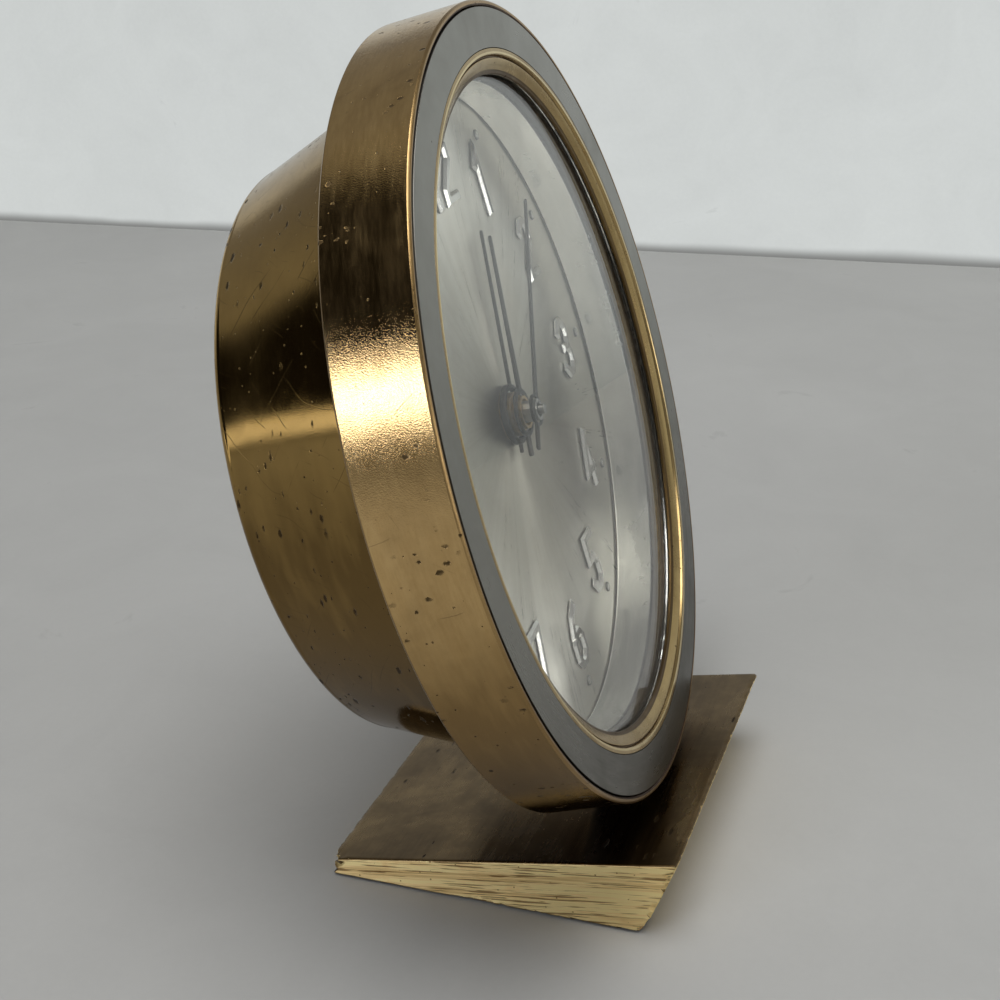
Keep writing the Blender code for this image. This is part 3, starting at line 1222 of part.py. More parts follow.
    def barrel(self, prefix, module, teeth, phase, site, key_name):
        """Toothed spring barrel, its spring, its winding arbor and the key on the arbor's square."""
        shop = self.shop
        name = f"{prefix}_barrel"
        root = module * (teeth / 2 - DEDENDUM) - BARREL_TOOTH_LAND
        inner = root - BARREL_WALL
        bore = WINDING_ARBOR_RADIUS + RUNNING_GAP
        hole = circle(bore, SMALL_STEPS)
        drum = shop.plate(name, [gear(module, teeth, phase), hole], BARREL_LAYER, WHEEL_THICKNESS,
                          self.finish(name, "brass"), site)
        wall = shop.plate(f"{name}_wall_tool", [circle(root, MEDIUM_STEPS), circle(inner, MEDIUM_STEPS)],
                          BARREL_LAYER + BARREL_BASE / 2, BARREL_HEIGHT - BARREL_BASE / 2, None, site)
        shop.join(drum, wall)
        spring_depth = BARREL_LAYER + WHEEL_THICKNESS + SEAT_GAP
        hook = WINDING_ARBOR_RADIUS + SEAT_GAP + MAINSPRING_THICKNESS / 2
        edge = inner - SEAT_GAP - MAINSPRING_THICKNESS / 2 - SPRING_PLAY
        shop.plate(f"{prefix}_spring",
                   [spiral(hook + SPRING_PLAY, edge, MAINSPRING_TURNS, MAINSPRING_THICKNESS)],
                   spring_depth, BARREL_HEIGHT - WHEEL_THICKNESS - 2 * SEAT_GAP,
                   self.finish(f"{prefix}_spring", "blued_steel"), site)
        key_front = DRUM_REAR + KEY_GAP
        arbor_name = f"{prefix}_winding_arbor"
        arbor = shop.cylinder(arbor_name, WINDING_ARBOR_RADIUS, FRONT_PLATE_BACK + SEAT_GAP, key_front,
                              self.finish(arbor_name, "steel"), site)
        tip = shop.cylinder(f"{arbor_name}_tip_tool", WINDING_ARBOR_RADIUS / 2,
                            FRONT_PLATE_DEPTH + PIVOT_SETBACK,
                            FRONT_PLATE_BACK + 2 * SEAT_GAP, None, site)
        square_half = ARBOR_SQUARE / 2
        square_back = key_front + KEY_SOCKET_DEPTH
        square = shop.plate(f"{arbor_name}_square_tool", [
            [(-square_half, -square_half), (square_half, -square_half), (square_half, square_half),
             (-square_half, square_half)]], key_front - ARBOR_SQUARE_ROOT,
            square_back - key_front + ARBOR_SQUARE_ROOT, None, site)
        shop.join(arbor, tip, square)
        self.key(key_name, site, key_front + SEAT_GAP, square_half, square_back)

    def key(self, name, site, front, square_half, square_back):
        """Winding key: a round hub over the arbor's square with two rounded wings."""
        shop = self.shop
        hub = shop.cylinder(name, KEY_HUB_RADIUS, front, front + KEY_SOCKET_DEPTH + KEY_CAP,
                            self.finish(name, "brass"), site, steps=24)
        wing_front = front + KEY_WING_START
        wings = []
        for side in (-1, 1):
            steps = 6
            reach = KEY_WING
            height = KEY_HEIGHT - KEY_WING_START
            outline = [(side * KEY_WING_LAP, 0.0)]
            outline += [
                (side * (reach / 2 + reach / 2 * math.sin(math.pi * (i / steps - KEY_WING_LEAN))),
                 height / 2 - height / 2 * math.cos(math.pi * i / steps))
                for i in range(steps + 1)
            ]
            outline.append((side * KEY_WING_LAP, height * KEY_WING_NOTCH))
            wing = shop.plate(f"{name}_wing_tool_{side + 1}", [outline], 0.0, KEY_THICKNESS, None, site)
            wing.data.transform(Matrix.Translation((0.0, 0.0, KEY_THICKNESS / 2)))
            wing.data.transform(Matrix.Rotation(-math.pi / 2, 4, "X"))
            wing.data.transform(Matrix.Translation((0.0, 0.0, -wing_front)))
            wing.data.transform(Matrix.Rotation(math.pi / 2, 4, "Z"))
            wings.append(wing)
        shop.join(hub, *wings)
        room = square_half + SEAT_GAP
        socket = shop.plate(f"{name}_socket_cutter",
                            [[(-room, -room), (room, -room), (room, room), (-room, room)]],
                            front - KEY_CAP, square_back + SEAT_GAP - front + KEY_CAP, None, site)
        shop.cut(hub, socket)

    def barrels(self):
        """Going barrel and alarm barrel."""
        phase = meshed_phase(BARREL_DIRECTION, CENTRE_PINION_TEETH, 0.0, BARREL_TEETH)
        self.barrel("going", BARREL_MODULE, BARREL_TEETH, phase, BARREL_SITE, "going_key")
        self.barrel("alarm", ALARM_BARREL_MODULE, ALARM_BARREL_TEETH, 0.0, ALARM_SITE, "alarm_key")

    # Escapement

    def escapement(self):
        """Pallet lever, balance wheel, hairspring and the regulator lever behind the rear plate."""
        shop = self.shop
        front = FRONT_PLATE_DEPTH + PIVOT_SETBACK
        back = REAR_PLATE_BACK - PIVOT_SETBACK
        lever = shop.cylinder("pallet_lever", PIVOT_RADIUS, front, back,
                              self.finish("pallet_lever", "steel"),
                              PALLET_SITE)
        side = [
            Vector((PALLET_ARM_LENGTH, PALLET_ARM_WIDTH / 2)),
            Vector((-PALLET_BODY / 3, PALLET_BODY)),
            Vector((-PALLET_TOE, PALLET_SPAN / 2)),
        ]
        fork = side + [Vector((-PALLET_TOE / 2, 0.0))] + [Vector((x, -y)) for x, y in reversed(side)]
        spin = Matrix.Rotation(PALLET_DIRECTION, 2)
        outline = [tuple(spin @ point) for point in fork]
        shop.join(lever,
                  shop.plate("pallet_arm_tool", [outline], ESCAPE_LAYER, WHEEL_THICKNESS, None, PALLET_SITE))
        staff = shop.cylinder("balance_wheel", STAFF_RADIUS, front, back,
                              self.finish("balance_wheel", "brass"),
                              BALANCE_SITE)
        ring = [circle(BALANCE_RADIUS, MEDIUM_STEPS)]
        ring += self.crossings(BALANCE_RADIUS - BALANCE_RIM, BALANCE_HUB, BALANCE_SPOKES, SPOKE_WIDTH / 2)
        shop.join(staff,
                  shop.plate("balance_ring_tool", ring, BALANCE_LAYER, WHEEL_THICKNESS, None, BALANCE_SITE))
        coil = spiral(STAFF_RADIUS + SEAT_GAP + HAIRSPRING_WIRE / 2, HAIRSPRING_RADIUS, HAIRSPRING_TURNS,
                      HAIRSPRING_WIRE)
        shop.plate("hairspring", [coil], BALANCE_LAYER + WHEEL_THICKNESS + HAIRSPRING_LIFT,
                   HAIRSPRING_HEIGHT,
                   self.finish("hairspring", "blued_steel"), BALANCE_SITE)
        lever_depth = REAR_PLATE_BACK + SEAT_GAP
        arm = hand(REGULATOR_LENGTH + REGULATOR_TIP, REGULATOR_TAIL, REGULATOR_HUB_RADIUS,
                   REGULATOR_ROOT_WIDTH,
                   REGULATOR_TIP_WIDTH, math.pi / 2 - REGULATOR_ANGLE)
        regulator = shop.plate("regulator_lever", [arm, circle(STAFF_RADIUS + 2 * RUNNING_GAP, SMALL_STEPS)],
                               lever_depth, WHEEL_THICKNESS, self.finish("regulator_lever", "steel"),
                               BALANCE_SITE)
        pin = shop.cylinder("regulator_pin_tool", REGULATOR_PIN_RADIUS, lever_depth + WHEEL_THICKNESS / 2,
                            DRUM_REAR + REGULATOR_PIN_PROUD, None,
                            BALANCE_SITE + polar(REGULATOR_LENGTH, REGULATOR_ANGLE))
        shop.join(regulator, pin)

    # Alarm

    def alarm(self):
        """Strike wheel, rocking hammer and the stop button on the back."""
        shop = self.shop
        front = FRONT_PLATE_DEPTH + PIVOT_SETBACK
        back = REAR_PLATE_BACK - PIVOT_SETBACK
        phase = meshed_phase(STRIKE_DIRECTION, ALARM_BARREL_TEETH, 0.0, STRIKE_PINION_TEETH)
        strike = shop.cylinder("strike_wheel", PIVOT_RADIUS, front, back,
                               self.finish("strike_wheel", "brass"),
                               STRIKE_SITE)
        pinion = shop.plate("strike_pinion_tool", [gear(ALARM_BARREL_MODULE, STRIKE_PINION_TEETH, phase)],
                            BARREL_LAYER - PINION_OVERLAP, WHEEL_THICKNESS + 2 * PINION_OVERLAP, None,
                            STRIKE_SITE)
        disc = shop.plate("strike_disc_tool", [ratchet(STRIKE_RADIUS, STRIKE_TOOTH, STRIKE_TEETH)],
                          STRIKE_LAYER,
                          WHEEL_THICKNESS, None, STRIKE_SITE)
        shop.join(strike, disc, pinion)
        hammer = shop.cylinder("alarm_hammer", PIVOT_RADIUS, front, back,
                               self.finish("alarm_hammer", "steel"),
                               HAMMER_SITE)
        half = HAMMER_ARM_WIDTH / 2
        tail_angle = (STRIKE_SITE - HAMMER_SITE).angle_signed(Vector((1.0, 0.0)))
        reach = hammer_arm_length()
        arm = turned_outline([(-half, -half), (reach, -half), (reach, half), (-half, half)],
                             -HAMMER_ARM_ANGLE)
        tail = turned_outline([(-half, -half), (HAMMER_TAIL, -half * HAMMER_TAIL_TAPER),
                               (HAMMER_TAIL, half * HAMMER_TAIL_TAPER), (-half, half)],
                              -tail_angle)
        head_site = HAMMER_SITE + polar(reach, HAMMER_ARM_ANGLE)
        shop.join(
            hammer,
            shop.plate("hammer_arm_tool", [arm], STRIKE_LAYER, WHEEL_THICKNESS, None, HAMMER_SITE),
            shop.plate("hammer_tail_tool", [tail], STRIKE_LAYER, WHEEL_THICKNESS, None, HAMMER_SITE),
            shop.cylinder("hammer_head_tool", HAMMER_HEAD_RADIUS, STRIKE_LAYER - HAMMER_HEAD_LAP,
                          STRIKE_LAYER - HAMMER_HEAD_LAP + HAMMER_HEAD_LENGTH, None, head_site),
        )
        button_front = DRUM_REAR + SEAT_GAP
        rod_front = REAR_PLATE_BACK - STOP_ROD_REACH
        button = shop.cylinder("alarm_stop_button", STOP_ROD_RADIUS, rod_front, button_front + STOP_EDGE,
                               self.finish("alarm_stop_button", "brass"), STOP_POINT)
        top = -button_front
        bottom = -button_front - STOP_HEIGHT
        edge = STOP_EDGE
        cap = shop.turned("stop_cap_tool", [(0.0, top), (STOP_RADIUS, top), (STOP_RADIUS, bottom + edge),
                                            (STOP_RADIUS - edge, bottom), (0.0, bottom)],
                          None, STOP_POINT, steps=20, ring=False)
        shop.join(button, cap)

    def build(self):
        """Builds the whole clock."""
        self.rim(self.foot())
        self.front_rings()
        self.dial()
        self.drum()
        self.back_cover()
        self.plates()
        self.hands()
        self.motion_work()
        self.alarm_setting()
        self.centre_arbor()
        self.train()
        self.barrels()
        self.escapement()
        self.alarm()


clear_scene()
Clock().build()
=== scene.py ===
"""Wind-up alarm clock on a wedge foot: the dressed model, its studio and its camera."""

from __future__ import annotations

import json
import logging
import math
from collections.abc import Callable, Sequence
from dataclasses import dataclass, field
from enum import Enum

import bmesh
import bpy
from mathutils import Matrix, Vector, noise
from mathutils.geometry import tessellate_polygon

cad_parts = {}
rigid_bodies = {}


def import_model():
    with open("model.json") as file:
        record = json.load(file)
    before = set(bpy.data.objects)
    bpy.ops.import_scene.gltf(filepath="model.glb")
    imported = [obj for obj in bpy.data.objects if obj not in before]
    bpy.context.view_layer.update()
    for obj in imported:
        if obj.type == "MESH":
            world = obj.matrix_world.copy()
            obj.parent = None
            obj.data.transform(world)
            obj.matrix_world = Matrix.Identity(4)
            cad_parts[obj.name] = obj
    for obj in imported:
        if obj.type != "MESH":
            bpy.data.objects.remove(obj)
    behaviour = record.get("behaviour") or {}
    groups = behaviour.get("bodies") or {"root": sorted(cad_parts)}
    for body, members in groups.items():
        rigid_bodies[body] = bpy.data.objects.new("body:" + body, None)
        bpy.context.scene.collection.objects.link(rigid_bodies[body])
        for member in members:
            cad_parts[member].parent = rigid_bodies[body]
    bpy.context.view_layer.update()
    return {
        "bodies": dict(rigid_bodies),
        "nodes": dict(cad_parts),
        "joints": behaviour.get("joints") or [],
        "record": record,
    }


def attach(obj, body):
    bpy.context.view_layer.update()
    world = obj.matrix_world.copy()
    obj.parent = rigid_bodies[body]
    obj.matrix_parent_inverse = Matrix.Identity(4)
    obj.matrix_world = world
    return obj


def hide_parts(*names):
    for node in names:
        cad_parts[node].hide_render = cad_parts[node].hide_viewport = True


LOG = logging.getLogger("alarm_clock")
MM = 0.001
TONE_LIMITS = (0.05, 1.06)
UP_FACING = 0.45
CUTTER_EDGE = 0.01

Colour = tuple[float, float, float]
Point = tuple[float, float]
Outline = list[Point]
Socket = bpy.types.NodeSocket
Input = Socket | float | tuple[float, ...]


# Outlines in millimetres


def polar(radius: float, degrees: float) -> Point:
    """Point at a radius and an angle in degrees, anticlockwise from +X."""
    turn = math.radians(degrees)
    return radius * math.cos(turn), radius * math.sin(turn)


def towards(azimuth: float, elevation: float) -> Vector:
    """Direction to a place on the sky, in degrees from +X and above the table."""
    turn, rise = math.radians(azimuth), math.radians(elevation)
    return Vector((math.cos(rise) * math.cos(turn), math.cos(rise) * math.sin(turn), math.sin(rise)))


def circle(radius: float, steps: int = 64, centre: Point = (0.0, 0.0)) -> Outline:
    """Anticlockwise points of a circle.

    Args:
        radius: Radius of the circle.
        steps: How many points it has.
        centre: Its middle.

    Returns:
        The outline.
    """
    turns = [polar(radius, 360.0 * i / steps) for i in range(steps)]
    return [(centre[0] + x, centre[1] + y) for x, y in turns]


def quarter(steps: int) -> list[Point]:
    """How far short of 1 the sine and the cosine are, in equal steps from 0 to 90 degrees."""
    turns = [math.pi / 2.0 * k / steps for k in range(steps + 1)]
    return [(1.0 - math.sin(turn), 1.0 - math.cos(turn)) for turn in turns]


def rectangle(width: float, depth: float) -> Outline:
    """A rectangle about the origin."""
    x, y = width / 2.0, depth / 2.0
    return [(-x, -y), (x, -y), (x, y), (-x, y)]


def area_of(outline: Outline) -> float:
    """Signed area of an outline, positive when it runs anticlockwise."""
    pairs = zip(outline, outline[1:] + outline[:1])
    return sum(a[0] * b[1] - b[0] * a[1] for a, b in pairs) / 2.0


def wound(outline: Outline, hole: bool) -> Outline:
    """The outline anticlockwise, or clockwise for a hole, so that the material is on its left."""
    return outline if (area_of(outline) < 0.0) == hole else outline[::-1]


def inset(outline: Outline, distance: float) -> Outline:
    """Moves every side of an outline to its left, keeping the corners mitred.

    Args:
        outline: Outline with the material on its left.
        distance: How far each side moves into the material.

    Returns:
        The moved outline, with as many points.
    """
    moved = []
    for i, here in enumerate(outline):
        point = Vector(here)
        before = (point - Vector(outline[i - 1])).normalized()
        after = (Vector(outline[(i + 1) % len(outline)]) - point).normalized()
        first = Vector((-before.y, before.x))
        bisector = first + Vector((-after.y, after.x))
        bisector = bisector.normalized() if bisector.length > 1e-4 else first
        moved.append(tuple(point + bisector * distance / max(0.4, bisector.dot(first))))
    return moved


def filleted(points: Sequence[Point], radius: float, segments: int = 4,
             sharp: Sequence[int] = ()) -> Outline:
    """Rounds the corners of a closed outline.

    Args:
        points: Corners of the outline.
        radius: Largest radius of a corner; short sides take less.
        segments: Straight pieces of each arc.
        sharp: Numbers of the corners that stay as they are.

    Returns:
        The rounded outline.
    """
    outline = []
    for i, here in enumerate(points):
        corner = Vector(here)
        to_last = Vector(points[i - 1]) - corner
        to_next = Vector(points[(i + 1) % len(points)]) - corner
        half = to_last.angle(to_next) / 2.0
        if i in sharp or half > math.radians(86.0):
            outline.append(tuple(corner))
            continue
        cut = min(radius / math.tan(half), 0.48 * min(to_last.length, to_next.length))
        reach = cut / math.cos(half)
        middle = corner + (to_last.normalized() + to_next.normalized()).normalized() * reach
        start = corner + to_last.normalized() * cut - middle
        end = corner + to_next.normalized() * cut - middle
        sweep = start.angle_signed(end)
        for k in range(segments + 1):
            spin = Matrix.Rotation(-sweep * k / segments, 2)
            outline.append(tuple(middle + spin @ start))
    return outline


def bar_outlines(points: Sequence[Point], width: float) -> list[Outline]:
    """Outlines of a bar of constant width along a line of points, with mitred corners.

    Args:
        points: The line; one that returns to its start makes a closed bar.
        width: Width of the bar.

    Returns:
        One outline for an open line, or an outer and an inner one for a closed line.
    """
    line = [Vector(point) for point in points]
    closed = points[0] == points[-1]
    if closed:
        line.pop()
    last = len(line) - 1
    left, right = [], []
    for i, point in enumerate(line):
        before = (point - line[i - 1]).normalized() if i or closed else None
        after = (line[(i + 1) % len(line)] - point).normalized() if i < last or closed else None
        first = before or after
        second = after or before
        bisector = Vector((-first.y - second.y, first.x + second.x)).normalized()
        reach = width / 2.0 / max(0.3, bisector.dot(Vector((-first.y, first.x))))
        end = Vector((0.0, 0.0))
        if before is None:
            end = -after * width / 2.0
        if after is None:
            end = before * width / 2.0
        left.append(tuple(point + bisector * reach + end))
        right.append(tuple(point - bisector * reach + end))
    return [left, right] if closed else [left + right[::-1]]


# Solids


class Shape:
    """Points and faces in millimetres, gathered before they become one mesh."""

    def __init__(self) -> None:
        """Starts with nothing in it."""
        self.points: list[Vector] = []
        self.faces: list[tuple[int, ...]] = []

    def ring(self, outline: Outline, height: float) -> list[int]:
        """Adds an outline's points at one height and returns their numbers."""
        start = len(self.points)
        self.points += [Vector((x, y, height)) for x, y in outline]
        return list(range(start, len(self.points)))

    def bridge(self, first: Sequence[int], second: Sequence[int]) -> None:
        """Joins two closed rows of points, of which one may be a single point."""
        count = max(len(first), len(second))
        for i in range(count):
            j = (i + 1) % count
            corners = [first[i % len(first)], first[j % len(first)],
                       second[j % len(second)], second[i % len(second)]]
            self.faces.append(tuple(dict.fromkeys(corners)))

    def cap(self, rows: Sequence[Sequence[int]]) -> None:
        """Closes a flat outline and its holes with triangles."""
        order = [number for row in rows for number in row]
        loops = [[self.points[number] for number in row] for row in rows]
        for triangle in tessellate_polygon(loops):
            self.faces.append(tuple(order[corner] for corner in triangle))

    def turned(self, profile: Sequence[Point], steps: int, at: Point = (0.0, 0.0)) -> Shape:
        """Adds a body of revolution.

        Args:
            profile: Closed outline of radius and depth behind the dial-side face.
            steps: Points round the axis.
            at: Where the axis is.

        Returns:
            This shape.
        """
        rows = []
        for radius, depth in profile:
            row = [at] if radius < 1e-6 else circle(radius, steps, at)
            rows.append(self.ring(row, -depth))
        for i, row in enumerate(rows):
            after = rows[(i + 1) % len(rows)]
            if len(row) > 1 or len(after) > 1:
                self.bridge(row, after)
        return self

    def plate(self, outlines: Sequence[Outline], front: float, thickness: float, edge: float = 0.06,
              segments: int = 2) -> Shape:
        """Adds a flat piece with rounded edges.

        Args:
            outlines: The outer outline, then its holes.
            front: Depth of its front face.
            thickness: Its thickness.
            edge: Radius of its edges.
            segments: Straight pieces of each rounded edge.

        Returns:
            This shape.
        """
        loops = [wound(list(outline), hole=i > 0) for i, outline in enumerate(outlines)]
        levels = [(edge * inwards, edge * back) for inwards, back in quarter(segments)]
        levels += [(offset, thickness - depth) for offset, depth in reversed(levels)]
        rows = [[self.ring(inset(loop, offset), -front - depth) for offset, depth in levels]
                for loop in loops]
        for loop_rows in rows:
            for upper, lower in zip(loop_rows, loop_rows[1:]):
                self.bridge(upper, lower)
        self.cap([loop_rows[0] for loop_rows in rows])
        self.cap([loop_rows[-1] for loop_rows in rows])
        return self

    def cutter(self, outline: Outline, front: float, thickness: float) -> Shape:
        """Adds a plate with all but sharp edges, to be taken from another shape."""
        return self.plate([outline], front, thickness, CUTTER_EDGE, 1)

    def moved(self, matrix: Matrix) -> Shape:
        """Moves every point by a matrix."""
        self.points = [matrix @ point for point in self.points]
        return self

    def mesh(self, name: str, sharp: float = 32.0) -> bpy.types.Mesh:
        """Makes the mesh in metres, smooth except at its sharp edges.

        Args:
            name: Name of the mesh.
            sharp: Angle in degrees above which an edge is sharp.

        Returns:
            The mesh.
        """
        mesh = bpy.data.meshes.new(name)
        mesh.from_pydata([point * MM for point in self.points], [], self.faces)
        tidy_mesh(mesh, sharp)
        return mesh


def tidy_mesh(mesh: bpy.types.Mesh, sharp: float) -> None:
    """Welds a mesh, turns its faces out and shades it smooth except at its sharp edges."""
    work = bmesh.new()
    work.from_mesh(mesh)
    bmesh.ops.remove_doubles(work, verts=work.verts, dist=2e-8)
    bmesh.ops.dissolve_degenerate(work, edges=work.edges, dist=1e-8)
    bmesh.ops.recalc_face_normals(work, faces=work.faces)
    work.to_mesh(mesh)
    work.free()
    mesh.shade_smooth()
    mesh.set_sharp_from_angle(angle=math.radians(sharp))


class Joining(Enum):
    """How two solids are combined."""

    UNION = "UNION"
    DIFFERENCE = "DIFFERENCE"


def combined(first: bpy.types.Mesh, second: bpy.types.Mesh, how: Joining) -> bpy.types.Mesh:
    """Combines two closed meshes into one.

    Args:
        first: The mesh that is kept.
        second: The mesh that is added to it or taken from it.
        how: Union or difference.

    Returns:
        The combined mesh, under the first one's name.
    """
    scene = bpy.context.scene.collection
    base = bpy.data.objects.new("joining_base", first)
    tool = bpy.data.objects.new("joining_tool", second)
    scene.objects.link(base)
    scene.objects.link(tool)
    modifier = base.modifiers.new("Joining", "BOOLEAN")
    modifier.operation = how.value
    modifier.solver = "EXACT"
    modifier.object = tool
    graph = bpy.context.evaluated_depsgraph_get()
    mesh = bpy.data.meshes.new_from_object(base.evaluated_get(graph))
    name = first.name
    for item in (base, tool):
        bpy.data.objects.remove(item)
    for used in (first, second):
        bpy.data.meshes.remove(used)
    mesh.name = name
    tidy_mesh(mesh, 32.0)
    return mesh


# Node trees


class Graph:
    """Short ways to add and link nodes in one tree."""

    def __init__(self, tree: bpy.types.NodeTree) -> None:
        """Works on this tree."""
        self.tree = tree
        self.count = 0

    def node(self, kind: str, **settings: object) -> bpy.types.Node:
        """Adds a node and sets its properties.

        Args:
            kind: Type name of the node.
            **settings: Its properties.

        Returns:
            The node.
        """
        made = self.tree.nodes.new(kind)
        made.location = (220.0 * (self.count // 6), -260.0 * (self.count % 6))
        self.count += 1
        for name, value in settings.items():
            setattr(made, name, value)
        return made

    def feed(self, socket: Socket, value: Input) -> None:
        """Links a socket to the input, or writes the value on it."""
        if isinstance(value, bpy.types.NodeSocket):
            self.tree.links.new(value, socket)
        elif isinstance(value, tuple) and socket.type == "RGBA" and len(value) == 3:
            socket.default_value = (*value, 1.0)
        else:
            socket.default_value = value

    def math(self, operation: str, first: Input, second: Input = 0.0, third: Input = 0.0,
             clamp: bool = False) -> Socket:
        """Adds a Math node.

        Args:
            operation: Its operation.
            first: First value.
            second: Second value.
            third: Third value.
            clamp: Whether the result stays from 0 to 1.

        Returns:
            Its result.
        """
        made = self.node("ShaderNodeMath", operation=operation, use_clamp=clamp)
        for socket, value in zip(made.inputs, (first, second, third)):
            self.feed(socket, value)
        return made.outputs[0]

    def vector(self, operation: str, first: Input, second: Input = (0.0, 0.0, 0.0)) -> Socket:
        """Adds a Vector Math node and returns its vector."""
        made = self.node("ShaderNodeVectorMath", operation=operation)
        self.feed(made.inputs[0], first)
        self.feed(made.inputs[1], second)
        return made.outputs["Value" if operation in ("DOT_PRODUCT", "LENGTH") else "Vector"]

    def scaled(self, vector: Input, factor: Input) -> Socket:
        """A vector times a number."""
        made = self.node("ShaderNodeVectorMath", operation="SCALE")
        self.feed(made.inputs[0], vector)
        self.feed(made.inputs["Scale"], factor)
        return made.outputs["Vector"]

    def times(self, first: Input, second: Input, plus: Input | None = None) -> Socket:
        """The product of two values, plus a third if there is one."""
        if plus is None:
            return self.math("MULTIPLY", first, second)
        return self.math("MULTIPLY_ADD", first, second, plus)

    def less(self, first: Input, second: Input) -> Socket:
        """The first value less the second."""
        return self.math("SUBTRACT", first, second)

    def vary(self, value: Socket, gain: Input, base: Input, clamp: bool = False) -> Socket:
        """The base plus a gain times how far a value from 0 to 1 is from its middle."""
        return self.math("MULTIPLY_ADD", self.less(value, 0.5), gain, base, clamp)

    def split(self, vector: Socket) -> tuple[Socket, Socket, Socket]:
        """The three parts of a vector."""
        made = self.node("ShaderNodeSeparateXYZ")
        self.feed(made.inputs[0], vector)
        return made.outputs[0], made.outputs[1], made.outputs[2]

    def join(self, x: Input, y: Input, z: Input = 0.0) -> Socket:
        """A vector of three parts."""
        made = self.node("ShaderNodeCombineXYZ")
        for socket, value in zip(made.inputs, (x, y, z)):
            self.feed(socket, value)
        return made.outputs[0]

    def grey(self, tone: Socket) -> Socket:
        """A colour whose three parts are one value."""
        return self.join(tone, tone, tone)

    def step(self, value: Input, low: Input, high: Input) -> Socket:
        """A smooth step from 0 at low to 1 at high."""
        made = self.node("ShaderNodeMapRange", interpolation_type="SMOOTHSTEP")
        self.feed(made.inputs["Value"], value)
        self.feed(made.inputs["From Min"], low)
        self.feed(made.inputs["From Max"], high)
        return made.outputs["Result"]

    def noise(self, vector: Input, scale: Input, detail: float = 2.0, rough: float = 0.5,
              twist: float = 0.0, fourth: Input | None = None) -> Socket:
        """Adds a Noise Texture.

        Args:
            vector: Where it is read.
            scale: Cells per unit.
            detail: Octaves.
            rough: Weight of the finer octaves.
            twist: Distortion.
            fourth: Fourth coordinate, if it has one.

        Returns:
            Its value, from 0 to 1.
        """
        made = self.node("ShaderNodeTexNoise", noise_dimensions="3D" if fourth is None else "4D")
        self.feed(made.inputs["Vector"], vector)
        if fourth is not None:
            self.feed(made.inputs["W"], fourth)
        values = {"Scale": scale, "Detail": detail, "Roughness": rough, "Distortion": twist}
        for name, value in values.items():
            self.feed(made.inputs[name], value)
        return made.outputs["Fac"]

    def blend(self, factor: Input, first: Input, second: Input, kind: str = "MIX") -> Socket:
        """Mixes two colours.

        Args:
            factor: Share of the second.
            first: First colour.
            second: Second colour.
            kind: Blend type.

        Returns:
            The mixed colour.
        """
        made = self.node("ShaderNodeMix", data_type="RGBA", blend_type=kind)
        inputs = [socket for socket in made.inputs if socket.type == "RGBA"]
        self.feed(made.inputs[0], factor)
        self.feed(inputs[0], first)
        self.feed(inputs[1], second)
        return [socket for socket in made.outputs if socket.type == "RGBA"][0]


class Effect(Enum):
    """Surface effects, each a node group that several materials share."""

    CASE_POSITION = "case_position"
    TURNED_PLACE = "turned_place"
    TURNED_GRAIN = "turned_grain"
    SUNBURST = "sunburst_grain"
    STRAIGHT_GRAIN = "straight_grain"
    PITS = "pits"
    SCRATCHES = "scratches"
    TARNISH = "tarnish"
    # Bands of wear and dirt, and also painted shade and painted highlights.
    BAND = "worn_band"


